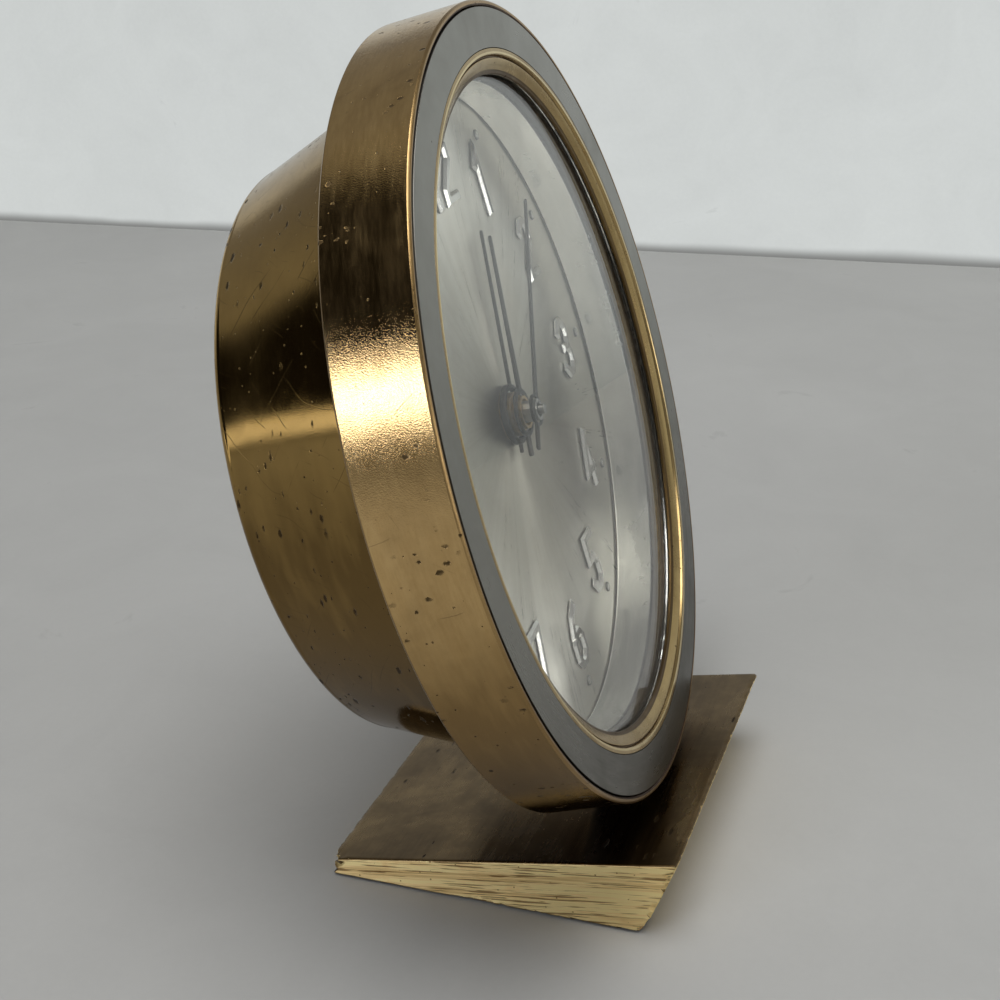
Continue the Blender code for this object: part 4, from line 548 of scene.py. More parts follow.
class EffectShelf:
    """Builds each effect's node group once and places it in materials."""

    def __init__(self, case: Matrix) -> None:
        """Keeps the place of the case for the effects that read it."""
        self.case = case
        self.built: dict[Effect, bpy.types.NodeTree] = {}

    def place(self, graph: Graph, effect: Effect, **values: Input) -> bpy.types.NodeSocketStandard:
        """Adds an effect to a tree.

        Args:
            graph: The tree it goes into.
            effect: Which effect.
            **values: Its inputs, with underscores for the spaces in their names.

        Returns:
            Its outputs.
        """
        if effect not in self.built:
            self.built[effect] = self.build(effect)
        made = graph.node("ShaderNodeGroup", node_tree=self.built[effect])
        for name, value in values.items():
            graph.feed(made.inputs[name.replace("_", " ")], value)
        return made.outputs

    def build(self, effect: Effect) -> bpy.types.NodeTree:
        """Builds one group.

        Args:
            effect: Which effect.

        Returns:
            Its node tree.
        """
        makers: dict[Effect, tuple[Callable, dict[str, object], dict[str, str]]] = {
            Effect.CASE_POSITION: (self.case_position, {"Position": None}, {"Position": "Vector"}),
            Effect.TURNED_PLACE: (self.turned_place, {"Position": None},
                                  {"Around": "Vector", "Radius": "Float", "Depth": "Float",
                                   "Arc": "Vector"}),
            Effect.TURNED_GRAIN: (self.turned_grain, {"Position": None, "Across": 4.0, "Along": 14.0},
                                  {"Grain": "Float", "Streaks": "Float"}),
            Effect.SUNBURST: (self.sunburst, {"Position": None, "Around": 220.0},
                              {"Grain": "Float", "Streaks": "Float"}),
            Effect.STRAIGHT_GRAIN: (self.straight_grain,
                                    {"Position": None, "Across": 5.0, "Along": 0.12},
                                    {"Grain": "Float", "Streaks": "Float"}),
            Effect.PITS: (self.pits, {"Position": None, "Density": 0.5, "Size": 0.2, "Share": 0.5},
                          {"Mask": "Float"}),
            Effect.SCRATCHES: (self.scratches,
                               {"Position": None, "Density": 0.4, "Width": 0.05, "Share": 0.3,
                                "Angle": 0.0},
                               {"Mask": "Float"}),
            Effect.TARNISH: (self.tarnish,
                             {"Position": None, "Scale": 0.1, "Cover": 0.4, "Softness": 0.12},
                             {"Mask": "Float"}),
            Effect.BAND: (self.band, {"Value": 0.0, "Centre": 0.0, "Half Width": 0.1, "Softness": 0.1},
                          {"Mask": "Float"}),
        }
        maker, inputs, outputs = makers[effect]
        tree = bpy.data.node_groups.new(effect.value, "ShaderNodeTree")
        for name, default in inputs.items():
            kind = "NodeSocketVector" if default is None else "NodeSocketFloat"
            socket = tree.interface.new_socket(name=name, in_out="INPUT", socket_type=kind)
            if default is not None:
                socket.default_value = default
        for name, kind in outputs.items():
            tree.interface.new_socket(name=name, in_out="OUTPUT", socket_type=f"NodeSocket{kind}")
        graph = Graph(tree)
        entry = graph.node("NodeGroupInput").outputs
        results = maker(graph, entry)
        leave = graph.node("NodeGroupOutput")
        for name, value in results.items():
            graph.feed(leave.inputs[name], value)
        return tree

    def case_position(self, graph: Graph, entry: bpy.types.NodeOutputs) -> dict[str, Socket]:
        """Turns a place in the clock's own space into the case's, in metres."""
        away = graph.vector("SUBTRACT", entry["Position"], tuple(self.case.translation))
        axes = [tuple(self.case.to_3x3().col[i]) for i in range(3)]
        return {"Position": graph.join(*[graph.vector("DOT_PRODUCT", away, axis) for axis in axes])}

    def turned_place(self, graph: Graph, entry: bpy.types.NodeOutputs) -> dict[str, Socket]:
        """Place on a turned piece: direction round its axis, radius, depth and unrolled place."""
        x, y, z = graph.split(entry["Position"])
        radius = graph.math("MAXIMUM", graph.vector("LENGTH", graph.join(x, y)), 1e-4)
        around = graph.join(graph.math("DIVIDE", x, radius), graph.math("DIVIDE", y, radius))
        arc = graph.join(graph.times(graph.math("ARCTAN2", x, y), radius), z)
        return {"Around": around, "Radius": radius, "Depth": graph.times(z, -1.0), "Arc": arc}

    def turned_grain(self, graph: Graph, entry: bpy.types.NodeOutputs) -> dict[str, Socket]:
        """Fine marks that run round the axis."""
        place = self.place(graph, Effect.TURNED_PLACE, Position=entry["Position"])
        grain = {}
        for name, fine, long, detail in (("Grain", 1.0, 1.0, 3.0), ("Streaks", 0.22, 0.35, 2.0)):
            x, y, _ = graph.split(graph.scaled(place["Around"], graph.times(entry["Along"], long)))
            spacing = graph.times(entry["Across"], fine)
            where = graph.join(x, y, graph.times(place["Depth"], spacing))
            fourth = graph.times(place["Radius"], spacing)
            grain[name] = graph.noise(where, 1.0, detail, 0.6, fourth=fourth)
        return grain

    def sunburst(self, graph: Graph, entry: bpy.types.NodeOutputs) -> dict[str, Socket]:
        """Fine marks that run out from the middle."""
        place = self.place(graph, Effect.TURNED_PLACE, Position=entry["Position"])
        grain = {}
        for name, fine, slow in (("Grain", 1.0, 0.10), ("Streaks", 0.09, 0.02)):
            x, y, _ = graph.split(graph.scaled(place["Around"], graph.times(entry["Around"], fine)))
            where = graph.join(x, y, graph.times(place["Radius"], slow))
            grain[name] = graph.noise(where, 1.0, 2.0, 0.55)
        return grain

    def straight_grain(self, graph: Graph, entry: bpy.types.NodeOutputs) -> dict[str, Socket]:
        """Fine marks that run along X."""
        x, y, z = graph.split(entry["Position"])
        grain = {}
        for name, fine in (("Grain", 1.0), ("Streaks", 0.2)):
            spacing = graph.times(entry["Across"], fine)
            where = graph.join(graph.times(x, graph.times(entry["Along"], fine)),
                               graph.times(y, spacing), graph.times(z, spacing))
            grain[name] = graph.noise(where, 1.0, 3.0, 0.6)
        return grain

    def pits(self, graph: Graph, entry: bpy.types.NodeOutputs) -> dict[str, Socket]:
        """Scattered ragged pits of different sizes."""
        made = graph.node("ShaderNodeTexVoronoi", feature="F1")
        graph.feed(made.inputs["Vector"], entry["Position"])
        graph.feed(made.inputs["Scale"], entry["Density"])
        picked = graph.node("ShaderNodeSeparateColor")
        graph.feed(picked.inputs[0], made.outputs["Color"])
        away = graph.math("DIVIDE", made.outputs["Distance"], entry["Density"])
        away = graph.vary(graph.noise(entry["Position"], 6.0, 2.0, 0.6), entry["Size"], away)
        reach = graph.times(entry["Size"], graph.math("POWER", picked.outputs[0], 1.6))
        inside = graph.less(1.0, graph.step(away, graph.times(reach, 0.6), reach))
        there = graph.math("LESS_THAN", picked.outputs[1], entry["Share"])
        return {"Mask": graph.times(inside, there)}

    def scratches(self, graph: Graph, entry: bpy.types.NodeOutputs) -> dict[str, Socket]:
        """Thin, slightly bent lines of different lengths, all near one direction."""
        turned = graph.node("ShaderNodeVectorRotate", rotation_type="Z_AXIS")
        graph.feed(turned.inputs["Vector"], entry["Position"])
        graph.feed(turned.inputs["Angle"], entry["Angle"])
        u, v, _ = graph.split(turned.outputs[0])
        bend = graph.noise(graph.join(graph.times(v, 0.055), graph.times(u, 0.02)), 1.0, 2.0)
        place = graph.times(graph.times(bend, 9.0, u), entry["Density"])
        line = graph.math("FLOOR", place)
        pick = graph.node("ShaderNodeTexWhiteNoise", noise_dimensions="1D")
        graph.feed(pick.inputs["W"], line)
        shift = graph.times(pick.outputs["Value"], 0.7, 0.15)
        away = graph.math("ABSOLUTE", graph.less(graph.math("FRACT", place), shift))
        away = graph.math("DIVIDE", away, entry["Density"])
        length = graph.noise(graph.join(graph.times(v, 0.16), graph.times(line, 3.7)), 1.0, 3.0)
        limit = graph.less(0.72, graph.times(entry["Share"], 0.4))
        there = graph.step(length, limit, graph.math("ADD", limit, 0.07))
        thin = graph.less(1.0, graph.step(away, 0.0, entry["Width"]))
        return {"Mask": graph.times(thin, there)}

    def tarnish(self, graph: Graph, entry: bpy.types.NodeOutputs) -> dict[str, Socket]:
        """Cloudy patches with ragged edges."""
        wide = graph.noise(entry["Position"], entry["Scale"], 6.0, 0.62, 0.6)
        fine = graph.noise(entry["Position"], graph.times(entry["Scale"], 7.0), 3.0, 0.6)
        mixed = graph.times(fine, 0.22, graph.times(wide, 0.78))
        middle = graph.times(entry["Cover"], -0.42, 0.71)
        low = graph.less(middle, entry["Softness"])
        high = graph.math("ADD", middle, entry["Softness"])
        return {"Mask": graph.step(mixed, low, high)}

    def band(self, graph: Graph, entry: bpy.types.NodeOutputs) -> dict[str, Socket]:
        """A soft-edged band of one coordinate, such as a worn edge, a line of dirt, a painted shade or a
        painted highlight.
        """
        away = graph.math("ABSOLUTE", graph.less(entry["Value"], entry["Centre"]))
        far = graph.math("ADD", entry["Half Width"], entry["Softness"])
        return {"Mask": graph.less(1.0, graph.step(away, entry["Half Width"], far))}


# Finishes


class Source(Enum):
    """Whose space a piece's points are in."""

    PIECE = "piece"
    CLOCK = "clock"


class Grain(Enum):
    """Direction of the fine marks in a metal."""

    TURNED = Effect.TURNED_GRAIN
    SUNBURST = Effect.SUNBURST
    STRAIGHT = Effect.STRAIGHT_GRAIN


class Axis(Enum):
    """Coordinate that a band is measured on."""

    RADIUS = "Radius"
    DEPTH = "Depth"
    HEIGHT = "Height"
    RISE = "Rise"


class Skin:
    """A new material with its node tree and its shader."""

    def __init__(self, name: str) -> None:
        """Makes the material."""
        self.material = bpy.data.materials.new(name)
        self.material.use_nodes = True
        self.nodes = self.material.node_tree.nodes
        self.graph = Graph(self.material.node_tree)
        self.shader = self.nodes["Principled BSDF"]
        self.spot = self.graph.node("ShaderNodeTexCoord").outputs["Object"]

    def take(self, **values: Input) -> None:
        """Links or writes the shader's inputs, with underscores for the spaces in their names."""
        for name, value in values.items():
            self.graph.feed(self.shader.inputs[name.replace("_", " ")], value)

    def bump(self, height: Socket, relief: float) -> None:
        """Adds a bump of this height, whose relief is in millimetres."""
        bump = self.graph.node("ShaderNodeBump")
        self.graph.feed(bump.inputs["Height"], height)
        bump.inputs["Strength"].default_value = 1.0
        bump.inputs["Distance"].default_value = relief * MM
        self.take(Normal=bump.outputs["Normal"])

    def mix(self, share: Socket, other: bpy.types.Node) -> None:
        """Shows another shader by a share instead of the main one."""
        mixed = self.graph.node("ShaderNodeMixShader")
        for socket, value in zip(mixed.inputs, (share, self.shader.outputs[0], other.outputs[0])):
            self.graph.feed(socket, value)
        self.graph.feed(self.nodes["Material Output"].inputs["Surface"], mixed.outputs[0])


@dataclass(frozen=True)
class EdgeBand:
    """A band of a turned or flat piece in another colour: wear and dirt, and also painted shade and
    highlights.
    """

    axis: Axis
    centre: float
    half_width: float
    softness: float
    colour: Colour
    strength: float
    rough: float = 0.0


@dataclass(frozen=True)
class Metal:
    """A metal with grain, tarnish, pits and scratches."""

    name: str
    colour: Colour
    tarnish_colour: Colour
    roughness: float
    grain: Grain = Grain.TURNED
    grain_turn: float = 0.0
    across: float = 4.0
    along: float = 14.0
    grain_tint: float = 0.14
    grain_rough: float = 0.14
    grain_height: float = 0.25
    cover: float = 0.35
    cover_scale: float = 0.09
    cover_softness: float = 0.14
    tarnish_share: float = 0.6
    tarnish_rough: float = 0.14
    pit_density: float = 0.55
    pit_size: float = 0.22
    pit_share: float = 0.45
    pit_colour: Colour = (0.035, 0.022, 0.012)
    speck_share: float = 0.35
    scratch_share: float = 0.22
    scratch_colour: Colour = (0.14, 0.09, 0.045)
    scratch_strength: float = 0.55
    speckle: float = 0.0
    cluster_share: float = 0.0
    cluster_stretch: tuple[float, float, float] = (1.0, 1.0, 1.0)
    unrolled: bool = False
    metallic: float = 1.0
    anisotropic: float = 0.0
    anisotropic_turn: float = 0.25
    grain_tilt: float = 0.0
    brush_share: float = 0.0
    # Bands of another colour; on some finishes they are painted shade or painted highlights.
    bands: tuple[EdgeBand, ...] = ()
    source: Source = Source.PIECE
    relief: float = 0.02

    def dressed(self, shelf: EffectShelf) -> bpy.types.Material:
        """Makes the material.

        Args:
            shelf: Where the effects come from.

        Returns:
            The material.
        """
        skin = Skin(self.name)
        graph = skin.graph
        spot = skin.spot
        if self.source is Source.CLOCK:
            spot = shelf.place(graph, Effect.CASE_POSITION, Position=spot)["Position"]
        spot = graph.scaled(spot, 1.0 / MM)
        place = shelf.place(graph, Effect.TURNED_PLACE, Position=spot)
        along = graph.node("ShaderNodeVectorRotate", rotation_type="EULER_XYZ")
        graph.feed(along.inputs["Vector"], spot)
        turn = (math.radians(self.grain_tilt), 0.0, math.radians(self.grain_turn))
        along.inputs["Rotation"].default_value = turn
        if self.grain is Grain.SUNBURST:
            marks = shelf.place(graph, self.grain.value, Position=spot, Around=self.across)
        else:
            marks = shelf.place(graph, self.grain.value, Position=along.outputs[0], Across=self.across,
                                Along=self.along)
        flat = place["Arc"] if self.unrolled else spot
        cover = shelf.place(graph, Effect.TARNISH, Position=spot, Scale=self.cover_scale,
                            Cover=self.cover, Softness=self.cover_softness)["Mask"]
        lines = self.lines(graph, shelf, flat)
        dark = self.dark_marks(graph, shelf, spot, flat)

        tone = graph.vary(marks["Grain"], 2.0 * self.grain_tint, 1.0)
        tone = graph.vary(marks["Streaks"], 2.5 * self.grain_tint, tone)
        tone = graph.math("MAXIMUM", graph.math("MINIMUM", tone, TONE_LIMITS[1]), TONE_LIMITS[0])
        warmed = graph.join(tone, graph.math("POWER", tone, 1.2), graph.math("POWER", tone, 1.5))
        colour = graph.blend(graph.times(cover, self.tarnish_share), self.colour, self.tarnish_colour)
        colour = graph.blend(1.0, colour, warmed, "MULTIPLY")
        rough = graph.vary(marks["Grain"], self.grain_rough, self.roughness)
        rough = graph.vary(marks["Streaks"], self.grain_rough, rough)
        rough = graph.times(cover, self.tarnish_rough, rough)
        for band in self.bands:
            if band.axis in (Axis.HEIGHT, Axis.RISE):
                value = graph.split(spot)[2 if band.axis is Axis.HEIGHT else 1]
            else:
                value = place[band.axis.value]
            mask = shelf.place(graph, Effect.BAND, Value=value, Centre=band.centre,
                               Half_Width=band.half_width, Softness=band.softness)["Mask"]
            mask = graph.math("MULTIPLY", mask, graph.times(marks["Streaks"], 0.8, 0.6), clamp=True)
            colour = graph.blend(graph.times(mask, band.strength), colour, band.colour)
            rough = graph.times(mask, band.rough, rough)
        colour = graph.blend(graph.times(lines, self.scratch_strength), colour, self.scratch_colour)
        if self.brush_share:
            drawn = self.brush_marks(graph, spot, along.outputs[0])
            colour = graph.blend(graph.times(drawn, 0.6), colour, self.pit_colour)
            dark = graph.math("MAXIMUM", dark, graph.times(drawn, 0.3))
        colour = graph.blend(graph.times(dark, 0.85), colour, self.pit_colour)
        rough = graph.times(dark, 0.3, rough)
        height = graph.times(dark, -1.0, graph.times(marks["Grain"], self.grain_height))
        height = graph.times(lines, -0.15, height)
        if self.speckle:
            height = graph.times(graph.noise(spot, 7.0, 2.0, 0.6), self.speckle, height)

        skin.take(Base_Color=colour, Metallic=self.metallic,
                  Roughness=graph.math("MULTIPLY_ADD", lines, 0.12, rough, clamp=True))
        skin.bump(height, self.relief)
        if self.anisotropic:
            tangent = graph.node("ShaderNodeTangent", direction_type="RADIAL", axis="Z")
            skin.take(Anisotropic=self.anisotropic, Anisotropic_Rotation=self.anisotropic_turn,
                      Tangent=tangent.outputs[0])
        return skin.material

    def lines(self, graph: Graph, shelf: EffectShelf, flat: Socket) -> Socket:
        """Coarse scratches one way and hair lines across them."""
        coarse, hair = [
            shelf.place(graph, Effect.SCRATCHES, Position=flat, Share=self.scratch_share,
                        Density=density, Width=width, Angle=angle)["Mask"]
            for density, width, angle in ((0.33, 0.07, 0.5), (0.9, 0.04, -0.9))
        ]
        return graph.math("MAXIMUM", coarse, graph.times(hair, 0.7))

    def dark_marks(self, graph: Graph, shelf: EffectShelf, spot: Socket, flat: Socket) -> Socket:
        """Pits, smaller specks and clusters of short dashes.

        Args:
            graph: The material's tree.
            shelf: Where the effects come from.
            spot: Where a point is.
            flat: Where it is on the unrolled piece.

        Returns:
            Their mask.
        """
        pits = shelf.place(graph, Effect.PITS, Position=spot, Density=self.pit_density,
                           Size=self.pit_size, Share=self.pit_share)["Mask"]
        specks = shelf.place(graph, Effect.PITS, Position=spot, Density=self.pit_density * 3.1,
                             Size=self.pit_size * 0.45, Share=self.speck_share)["Mask"]
        dark = graph.math("MAXIMUM", pits, graph.times(specks, 0.8))
        if self.cluster_share:
            spread = graph.vector("MULTIPLY", flat, self.cluster_stretch)
            marked = shelf.place(graph, Effect.PITS, Position=spread, Density=1.25, Size=0.36,
                                 Share=0.7)["Mask"]
            limit = 0.66 - 0.2 * self.cluster_share
            where = graph.step(graph.noise(spot, 0.085, 3.0, 0.6), limit, limit + 0.05)
            dark = graph.math("MAXIMUM", dark, graph.times(marked, where))
        return dark

    def brush_marks(self, graph: Graph, spot: Socket, along: Socket) -> Socket:
        """Short dark brush marks along the grain, more of them in some places."""
        strokes = graph.noise(graph.vector("MULTIPLY", along, (0.15, 4.4, 4.4)), 1.0, 2.5, 0.55)
        drawn = graph.times(graph.noise(spot, 0.16, 2.0, 0.5), 0.25, strokes)
        limit = 0.735 - 0.1 * self.brush_share
        return graph.step(drawn, limit, limit + 0.06)


@dataclass(frozen=True)
class Matt:
    """A matt surface such as rubber or felt, with fibres or dust."""

    name: str
    colour: Colour
    dust: Colour
    roughness: float
    scale: float = 1.5
    share: float = 0.35
    relief: float = 0.05
    fleck: float = 6.0

    def dressed(self, shelf: EffectShelf) -> bpy.types.Material:
        """Makes the material.

        Args:
            shelf: Where the effects come from.

        Returns:
            The material.
        """
        skin = Skin(self.name)
        graph = skin.graph
        spot = graph.scaled(skin.spot, 1.0 / MM)
        cover = shelf.place(graph, Effect.TARNISH, Position=spot, Scale=self.scale, Cover=self.share,
                            Softness=0.18)["Mask"]
        flecks = graph.noise(spot, self.fleck, 3.0, 0.65)
        colour = graph.blend(graph.times(cover, 0.5), self.colour, self.dust)
        colour = graph.blend(1.0, colour, graph.grey(graph.vary(flecks, 0.5, 1.0)), "MULTIPLY")
        skin.take(Base_Color=colour, Roughness=graph.vary(flecks, 0.18, self.roughness, clamp=True))
        skin.bump(flecks, self.relief)
        return skin.material


@dataclass(frozen=True)
class Glass:
    """Clear glass with faint wipe marks, which lets lamps through to the dial."""

    name: str
    tint: Colour = (0.97, 0.98, 0.97)
    smear_tint: Colour = (0.94, 0.95, 0.94)
    roughness: float = 0.012
    ior: float = 1.33

    def dressed(self, shelf: EffectShelf) -> bpy.types.Material:
        """Makes the material.

        Args:
            shelf: Where the effects come from.

        Returns:
            The material.
        """
        skin = Skin(self.name)
        graph = skin.graph
        spot = graph.scaled(skin.spot, 1.0 / MM)
        smear = shelf.place(graph, Effect.TARNISH, Position=spot, Scale=0.06, Cover=0.4,
                            Softness=0.2)["Mask"]
        skin.take(Roughness=graph.times(smear, 0.01, self.roughness),
                  Base_Color=graph.blend(smear, self.tint, self.smear_tint),
                  Transmission_Weight=1.0, IOR=self.ior)
        skin.mix(graph.node("ShaderNodeLightPath").outputs["Is Shadow Ray"],
                 graph.node("ShaderNodeBsdfTransparent"))
        return skin.material


BRASS: Colour = (0.64, 0.432, 0.187)
OLD_BRASS: Colour = (0.17, 0.105, 0.045)
STEEL: Colour = (0.50, 0.49, 0.47)
DARK_LINE: Colour = (0.02, 0.013, 0.007)
# Pale gold for a painted highlight along an edge.
PAINTED_EDGE_HIGHLIGHT: Colour = (0.92, 0.76, 0.42)

RIM_BRASS = Metal(
    "rim_brass", BRASS, (0.30, 0.19, 0.08), 0.145, across=3.2, along=22.0, grain_tint=0.14,
    grain_rough=0.12, grain_height=0.45, cover=0.40, cover_scale=0.06, tarnish_share=0.5,
    tarnish_rough=0.06, pit_density=0.42, pit_size=0.36, pit_share=0.42, speck_share=0.35,
    scratch_share=0.22, cluster_share=0.55, cluster_stretch=(1.0, 0.6, 1.0), unrolled=True,
    anisotropic=0.72, speckle=0.75,
    bands=(
        # Darker towards the bottom: painted shade for the shaded floor that the lower rim mirrors.
        EdgeBand(Axis.RISE, -60.0, 41.0, 19.0, (0.225, 0.14, 0.055), 0.92, 0.03),
        EdgeBand(Axis.DEPTH, 0.10, 0.16, 0.10, (0.30, 0.19, 0.08), 0.6, 0.15),
        EdgeBand(Axis.DEPTH, 9.5, 0.10, 0.15, OLD_BRASS, 0.7, 0.10),
        EdgeBand(Axis.RADIUS, 45.32, 0.16, 0.08, (0.05, 0.02, 0.01), 0.92, 0.2),
    ),
)
DRUM_BRASS = Metal(
    "drum_brass", (0.61, 0.40, 0.137), (0.33, 0.21, 0.072), 0.045, across=2.0, along=12.0,
    grain_tint=0.05, grain_rough=0.04, grain_height=0.06, cover=0.42, cover_scale=0.05,
    cover_softness=0.18, tarnish_share=0.5, tarnish_rough=0.12, pit_density=0.42, pit_size=0.34,
    pit_share=0.45, pit_colour=(0.03, 0.017, 0.007), speck_share=0.6, scratch_share=0.45, unrolled=True,
    scratch_strength=0.7, scratch_colour=(0.06, 0.035, 0.014), cluster_share=0.9, speckle=0.15,
    cluster_stretch=(0.45, 1.0, 1.0),
    bands=(
        # Darker towards the bottom: painted shade for the shaded floor that the lower drum mirrors.
        EdgeBand(Axis.RISE, -60.0, 56.0, 28.0, (0.145, 0.088, 0.029), 0.95, 0.03),
        # Darker near the top: painted shade that tones down the bright wall the drum mirrors there.
        EdgeBand(Axis.RISE, 50.0, 14.0, 12.0, (0.30, 0.195, 0.07), 0.75, 0.08),
        EdgeBand(Axis.DEPTH, 9.75, 0.18, 0.25, DARK_LINE, 0.85, 0.3),
        EdgeBand(Axis.DEPTH, 10.5, 0.06, 0.08, DARK_LINE, 0.5, 0.1),
    ),
)
GILT = Metal(
    "gilt_bezel", (0.46, 0.33, 0.145), (0.245, 0.16, 0.065), 0.20, across=5.0, along=16.0,
    grain_tint=0.10, grain_rough=0.10, grain_height=0.3, cover=0.35, tarnish_share=0.45, pit_density=0.6,
    pit_size=0.24, pit_share=0.45, speck_share=0.4, scratch_share=0.2,
    bands=(
        EdgeBand(Axis.RADIUS, 39.72, 0.07, 0.08, (0.10, 0.05, 0.02), 0.85, 0.1),
        # Painted highlight along the bezel's front edge.
        EdgeBand(Axis.RADIUS, 40.1, 0.08, 0.08, PAINTED_EDGE_HIGHLIGHT, 0.7, -0.08),
        EdgeBand(Axis.RADIUS, 38.05, 0.34, 0.12, (0.07, 0.04, 0.016), 0.9, 0.15),
    ),
)
GREY_RING = Metal(
    "grey_ring", (0.30, 0.295, 0.265), (0.255, 0.248, 0.22), 0.28, across=6.0, along=18.0,
    grain_tint=0.05, grain_rough=0.08, grain_height=0.2, cover=0.4, tarnish_share=0.5, pit_size=0.15,
    pit_share=0.12, speck_share=0.1, scratch_share=0.08, cover_scale=0.03,
    scratch_colour=(0.25, 0.24, 0.21), scratch_strength=0.3, anisotropic=0.3,
    # Darker towards the bottom: painted shade where the lower annulus mirrors the foot and the shaded
    # floor.
    bands=(EdgeBand(Axis.RISE, -60.0, 22.0, 36.0, (0.085, 0.08, 0.068), 0.9, 0.0),),
)
SILVER_DIAL = Metal(
    "silver_dial", (0.58, 0.548, 0.46), (0.43, 0.40, 0.32), 0.30, grain=Grain.SUNBURST, across=150.0,
    grain_tint=0.12, grain_rough=0.16, grain_height=0.5, cover=0.40, cover_scale=0.06,
    tarnish_share=0.35, pit_density=0.35, pit_size=0.16, pit_share=0.2, speck_share=0.12,
    scratch_share=0.05, scratch_colour=(0.5, 0.48, 0.42), scratch_strength=0.2, relief=0.010,
    anisotropic=0.88, anisotropic_turn=0.0,
    bands=(EdgeBand(Axis.RADIUS, 42.0, 11.0, 17.0, (0.98, 0.955, 0.86), 0.92, 0.0),),
)
NUMERAL_SILVER = Metal(
    "numeral_silver", (0.93, 0.915, 0.87), (0.55, 0.51, 0.43), 0.13, grain=Grain.STRAIGHT, across=6.0,
    along=1.5, grain_tint=0.05, grain_rough=0.06, grain_height=0.12, cover=0.3, cover_scale=0.2,
    tarnish_share=0.35, pit_size=0.12, pit_share=0.2, speck_share=0.2, scratch_share=0.1,
    relief=0.008,
    # Painted shade round the foot of the raised numerals and hour dots.
    bands=(EdgeBand(Axis.DEPTH, 9.40, 0.12, 0.10, (0.035, 0.030, 0.022), 0.92, 0.3),),
)
PALE_WALL = Metal(
    "pale_wall", (0.97, 0.965, 0.92), (0.80, 0.785, 0.72), 0.17, across=3.0, along=10.0,
    grain_tint=0.05, grain_rough=0.08, grain_height=0.15, cover=0.4, tarnish_share=0.3,
    pit_size=0.12, pit_share=0.1, speck_share=0.1, scratch_share=0.1,
    scratch_colour=(0.8, 0.8, 0.76), scratch_strength=0.2, metallic=0.75, relief=0.008,
    bands=(
        # Darker towards the bottom of the recess wall: painted shade.
        EdgeBand(Axis.RISE, -60.0, 32.0, 30.0, (0.22, 0.218, 0.20), 0.95, 0.0),
        # Painted highlight: a pale line along the wall's back edge, next to the dial.
        EdgeBand(Axis.DEPTH, 9.2, 0.10, 0.08, (0.97, 0.96, 0.92), 0.9, -0.05),
    ),
)
# Brushed brass of the foot's sides, set as bright as it can go to stand in for lamp light they lack:
# partly painted light.
FOOT_BRASS = Metal(
    "foot_brass", (1.0, 0.76, 0.36), (0.55, 0.33, 0.11), 0.46, grain=Grain.STRAIGHT, grain_turn=90.0,
    grain_tilt=8.5, brush_share=0.5, across=4.2, along=0.10, grain_tint=0.6, grain_rough=0.16,
    grain_height=0.9, cover=0.12, cover_scale=0.12, tarnish_share=0.35, pit_density=0.5, pit_size=0.30,
    pit_share=0.22, pit_colour=(0.14, 0.065, 0.014), speck_share=0.25, scratch_share=0.05,
    anisotropic=0.96, relief=0.055, cluster_share=0.25, cluster_stretch=(1.0, 0.3, 1.9),
    bands=(
        # Painted contact shadow along the foot's lower edge.
        EdgeBand(Axis.HEIGHT, 0.25, 0.10, 0.15, DARK_LINE, 0.8, 0.2),
    ),
)
FOOT_TOP_BRASS = Metal(
    "foot_top_brass", (0.20, 0.132, 0.058), (0.055, 0.034, 0.014), 0.22, grain=Grain.STRAIGHT,
    across=2.4, along=0.10, grain_tint=0.22, grain_rough=0.12, grain_height=0.35, cover=0.46,
    cover_scale=0.07, cover_softness=0.20, tarnish_share=0.75, tarnish_rough=0.14, pit_density=0.34,
    pit_size=0.26, pit_share=0.5, pit_colour=(0.018, 0.010, 0.005), speck_share=0.5, scratch_share=0.10,
    scratch_colour=(0.30, 0.21, 0.10), scratch_strength=0.3, cluster_share=0.4,
    cluster_stretch=(0.3, 1.0, 1.0),
)
DARK_STEEL = Metal(
    "dark_steel", (0.032, 0.028, 0.024), (0.018, 0.016, 0.014), 0.34, grain=Grain.STRAIGHT, across=5.0,
    along=1.0, grain_tint=0.10, grain_rough=0.12, grain_height=0.2, cover=0.4, tarnish_share=0.5,
    pit_size=0.10, pit_share=0.2, scratch_share=0.2, scratch_colour=(0.15, 0.14, 0.13), metallic=0.9,
    relief=0.006,
)
TURNED_STEEL = Metal(
    "turned_steel", STEEL, (0.22, 0.19, 0.15), 0.26, across=7.0, along=6.0, grain_tint=0.08,
    grain_rough=0.12, grain_height=0.3, cover=0.3, pit_size=0.12, pit_share=0.25,
    scratch_colour=(0.75, 0.74, 0.71),
)
COVER_BRASS = Metal(
    "cover_brass", (0.68, 0.47, 0.21), OLD_BRASS, 0.30, across=3.6, along=16.0, grain_tint=0.12,
    grain_rough=0.14, grain_height=0.4, cover=0.4, tarnish_share=0.5, pit_size=0.24, pit_share=0.4,
    scratch_share=0.5,
)
KEY_BRASS = Metal(
    "key_brass", (0.72, 0.50, 0.22), OLD_BRASS, 0.22, across=5.0, along=6.0, grain_tint=0.08,
    grain_rough=0.10, grain_height=0.25, cover=0.35, cover_scale=0.15, pit_size=0.15, pit_share=0.3,
    scratch_share=0.3,
)
PLATE_BRASS = Metal(
    "plate_brass", (0.66, 0.47, 0.22), OLD_BRASS, 0.30, grain=Grain.STRAIGHT, across=4.0, along=0.4,
    cover=0.35, pit_share=0.2, source=Source.CLOCK, relief=0.01,
)
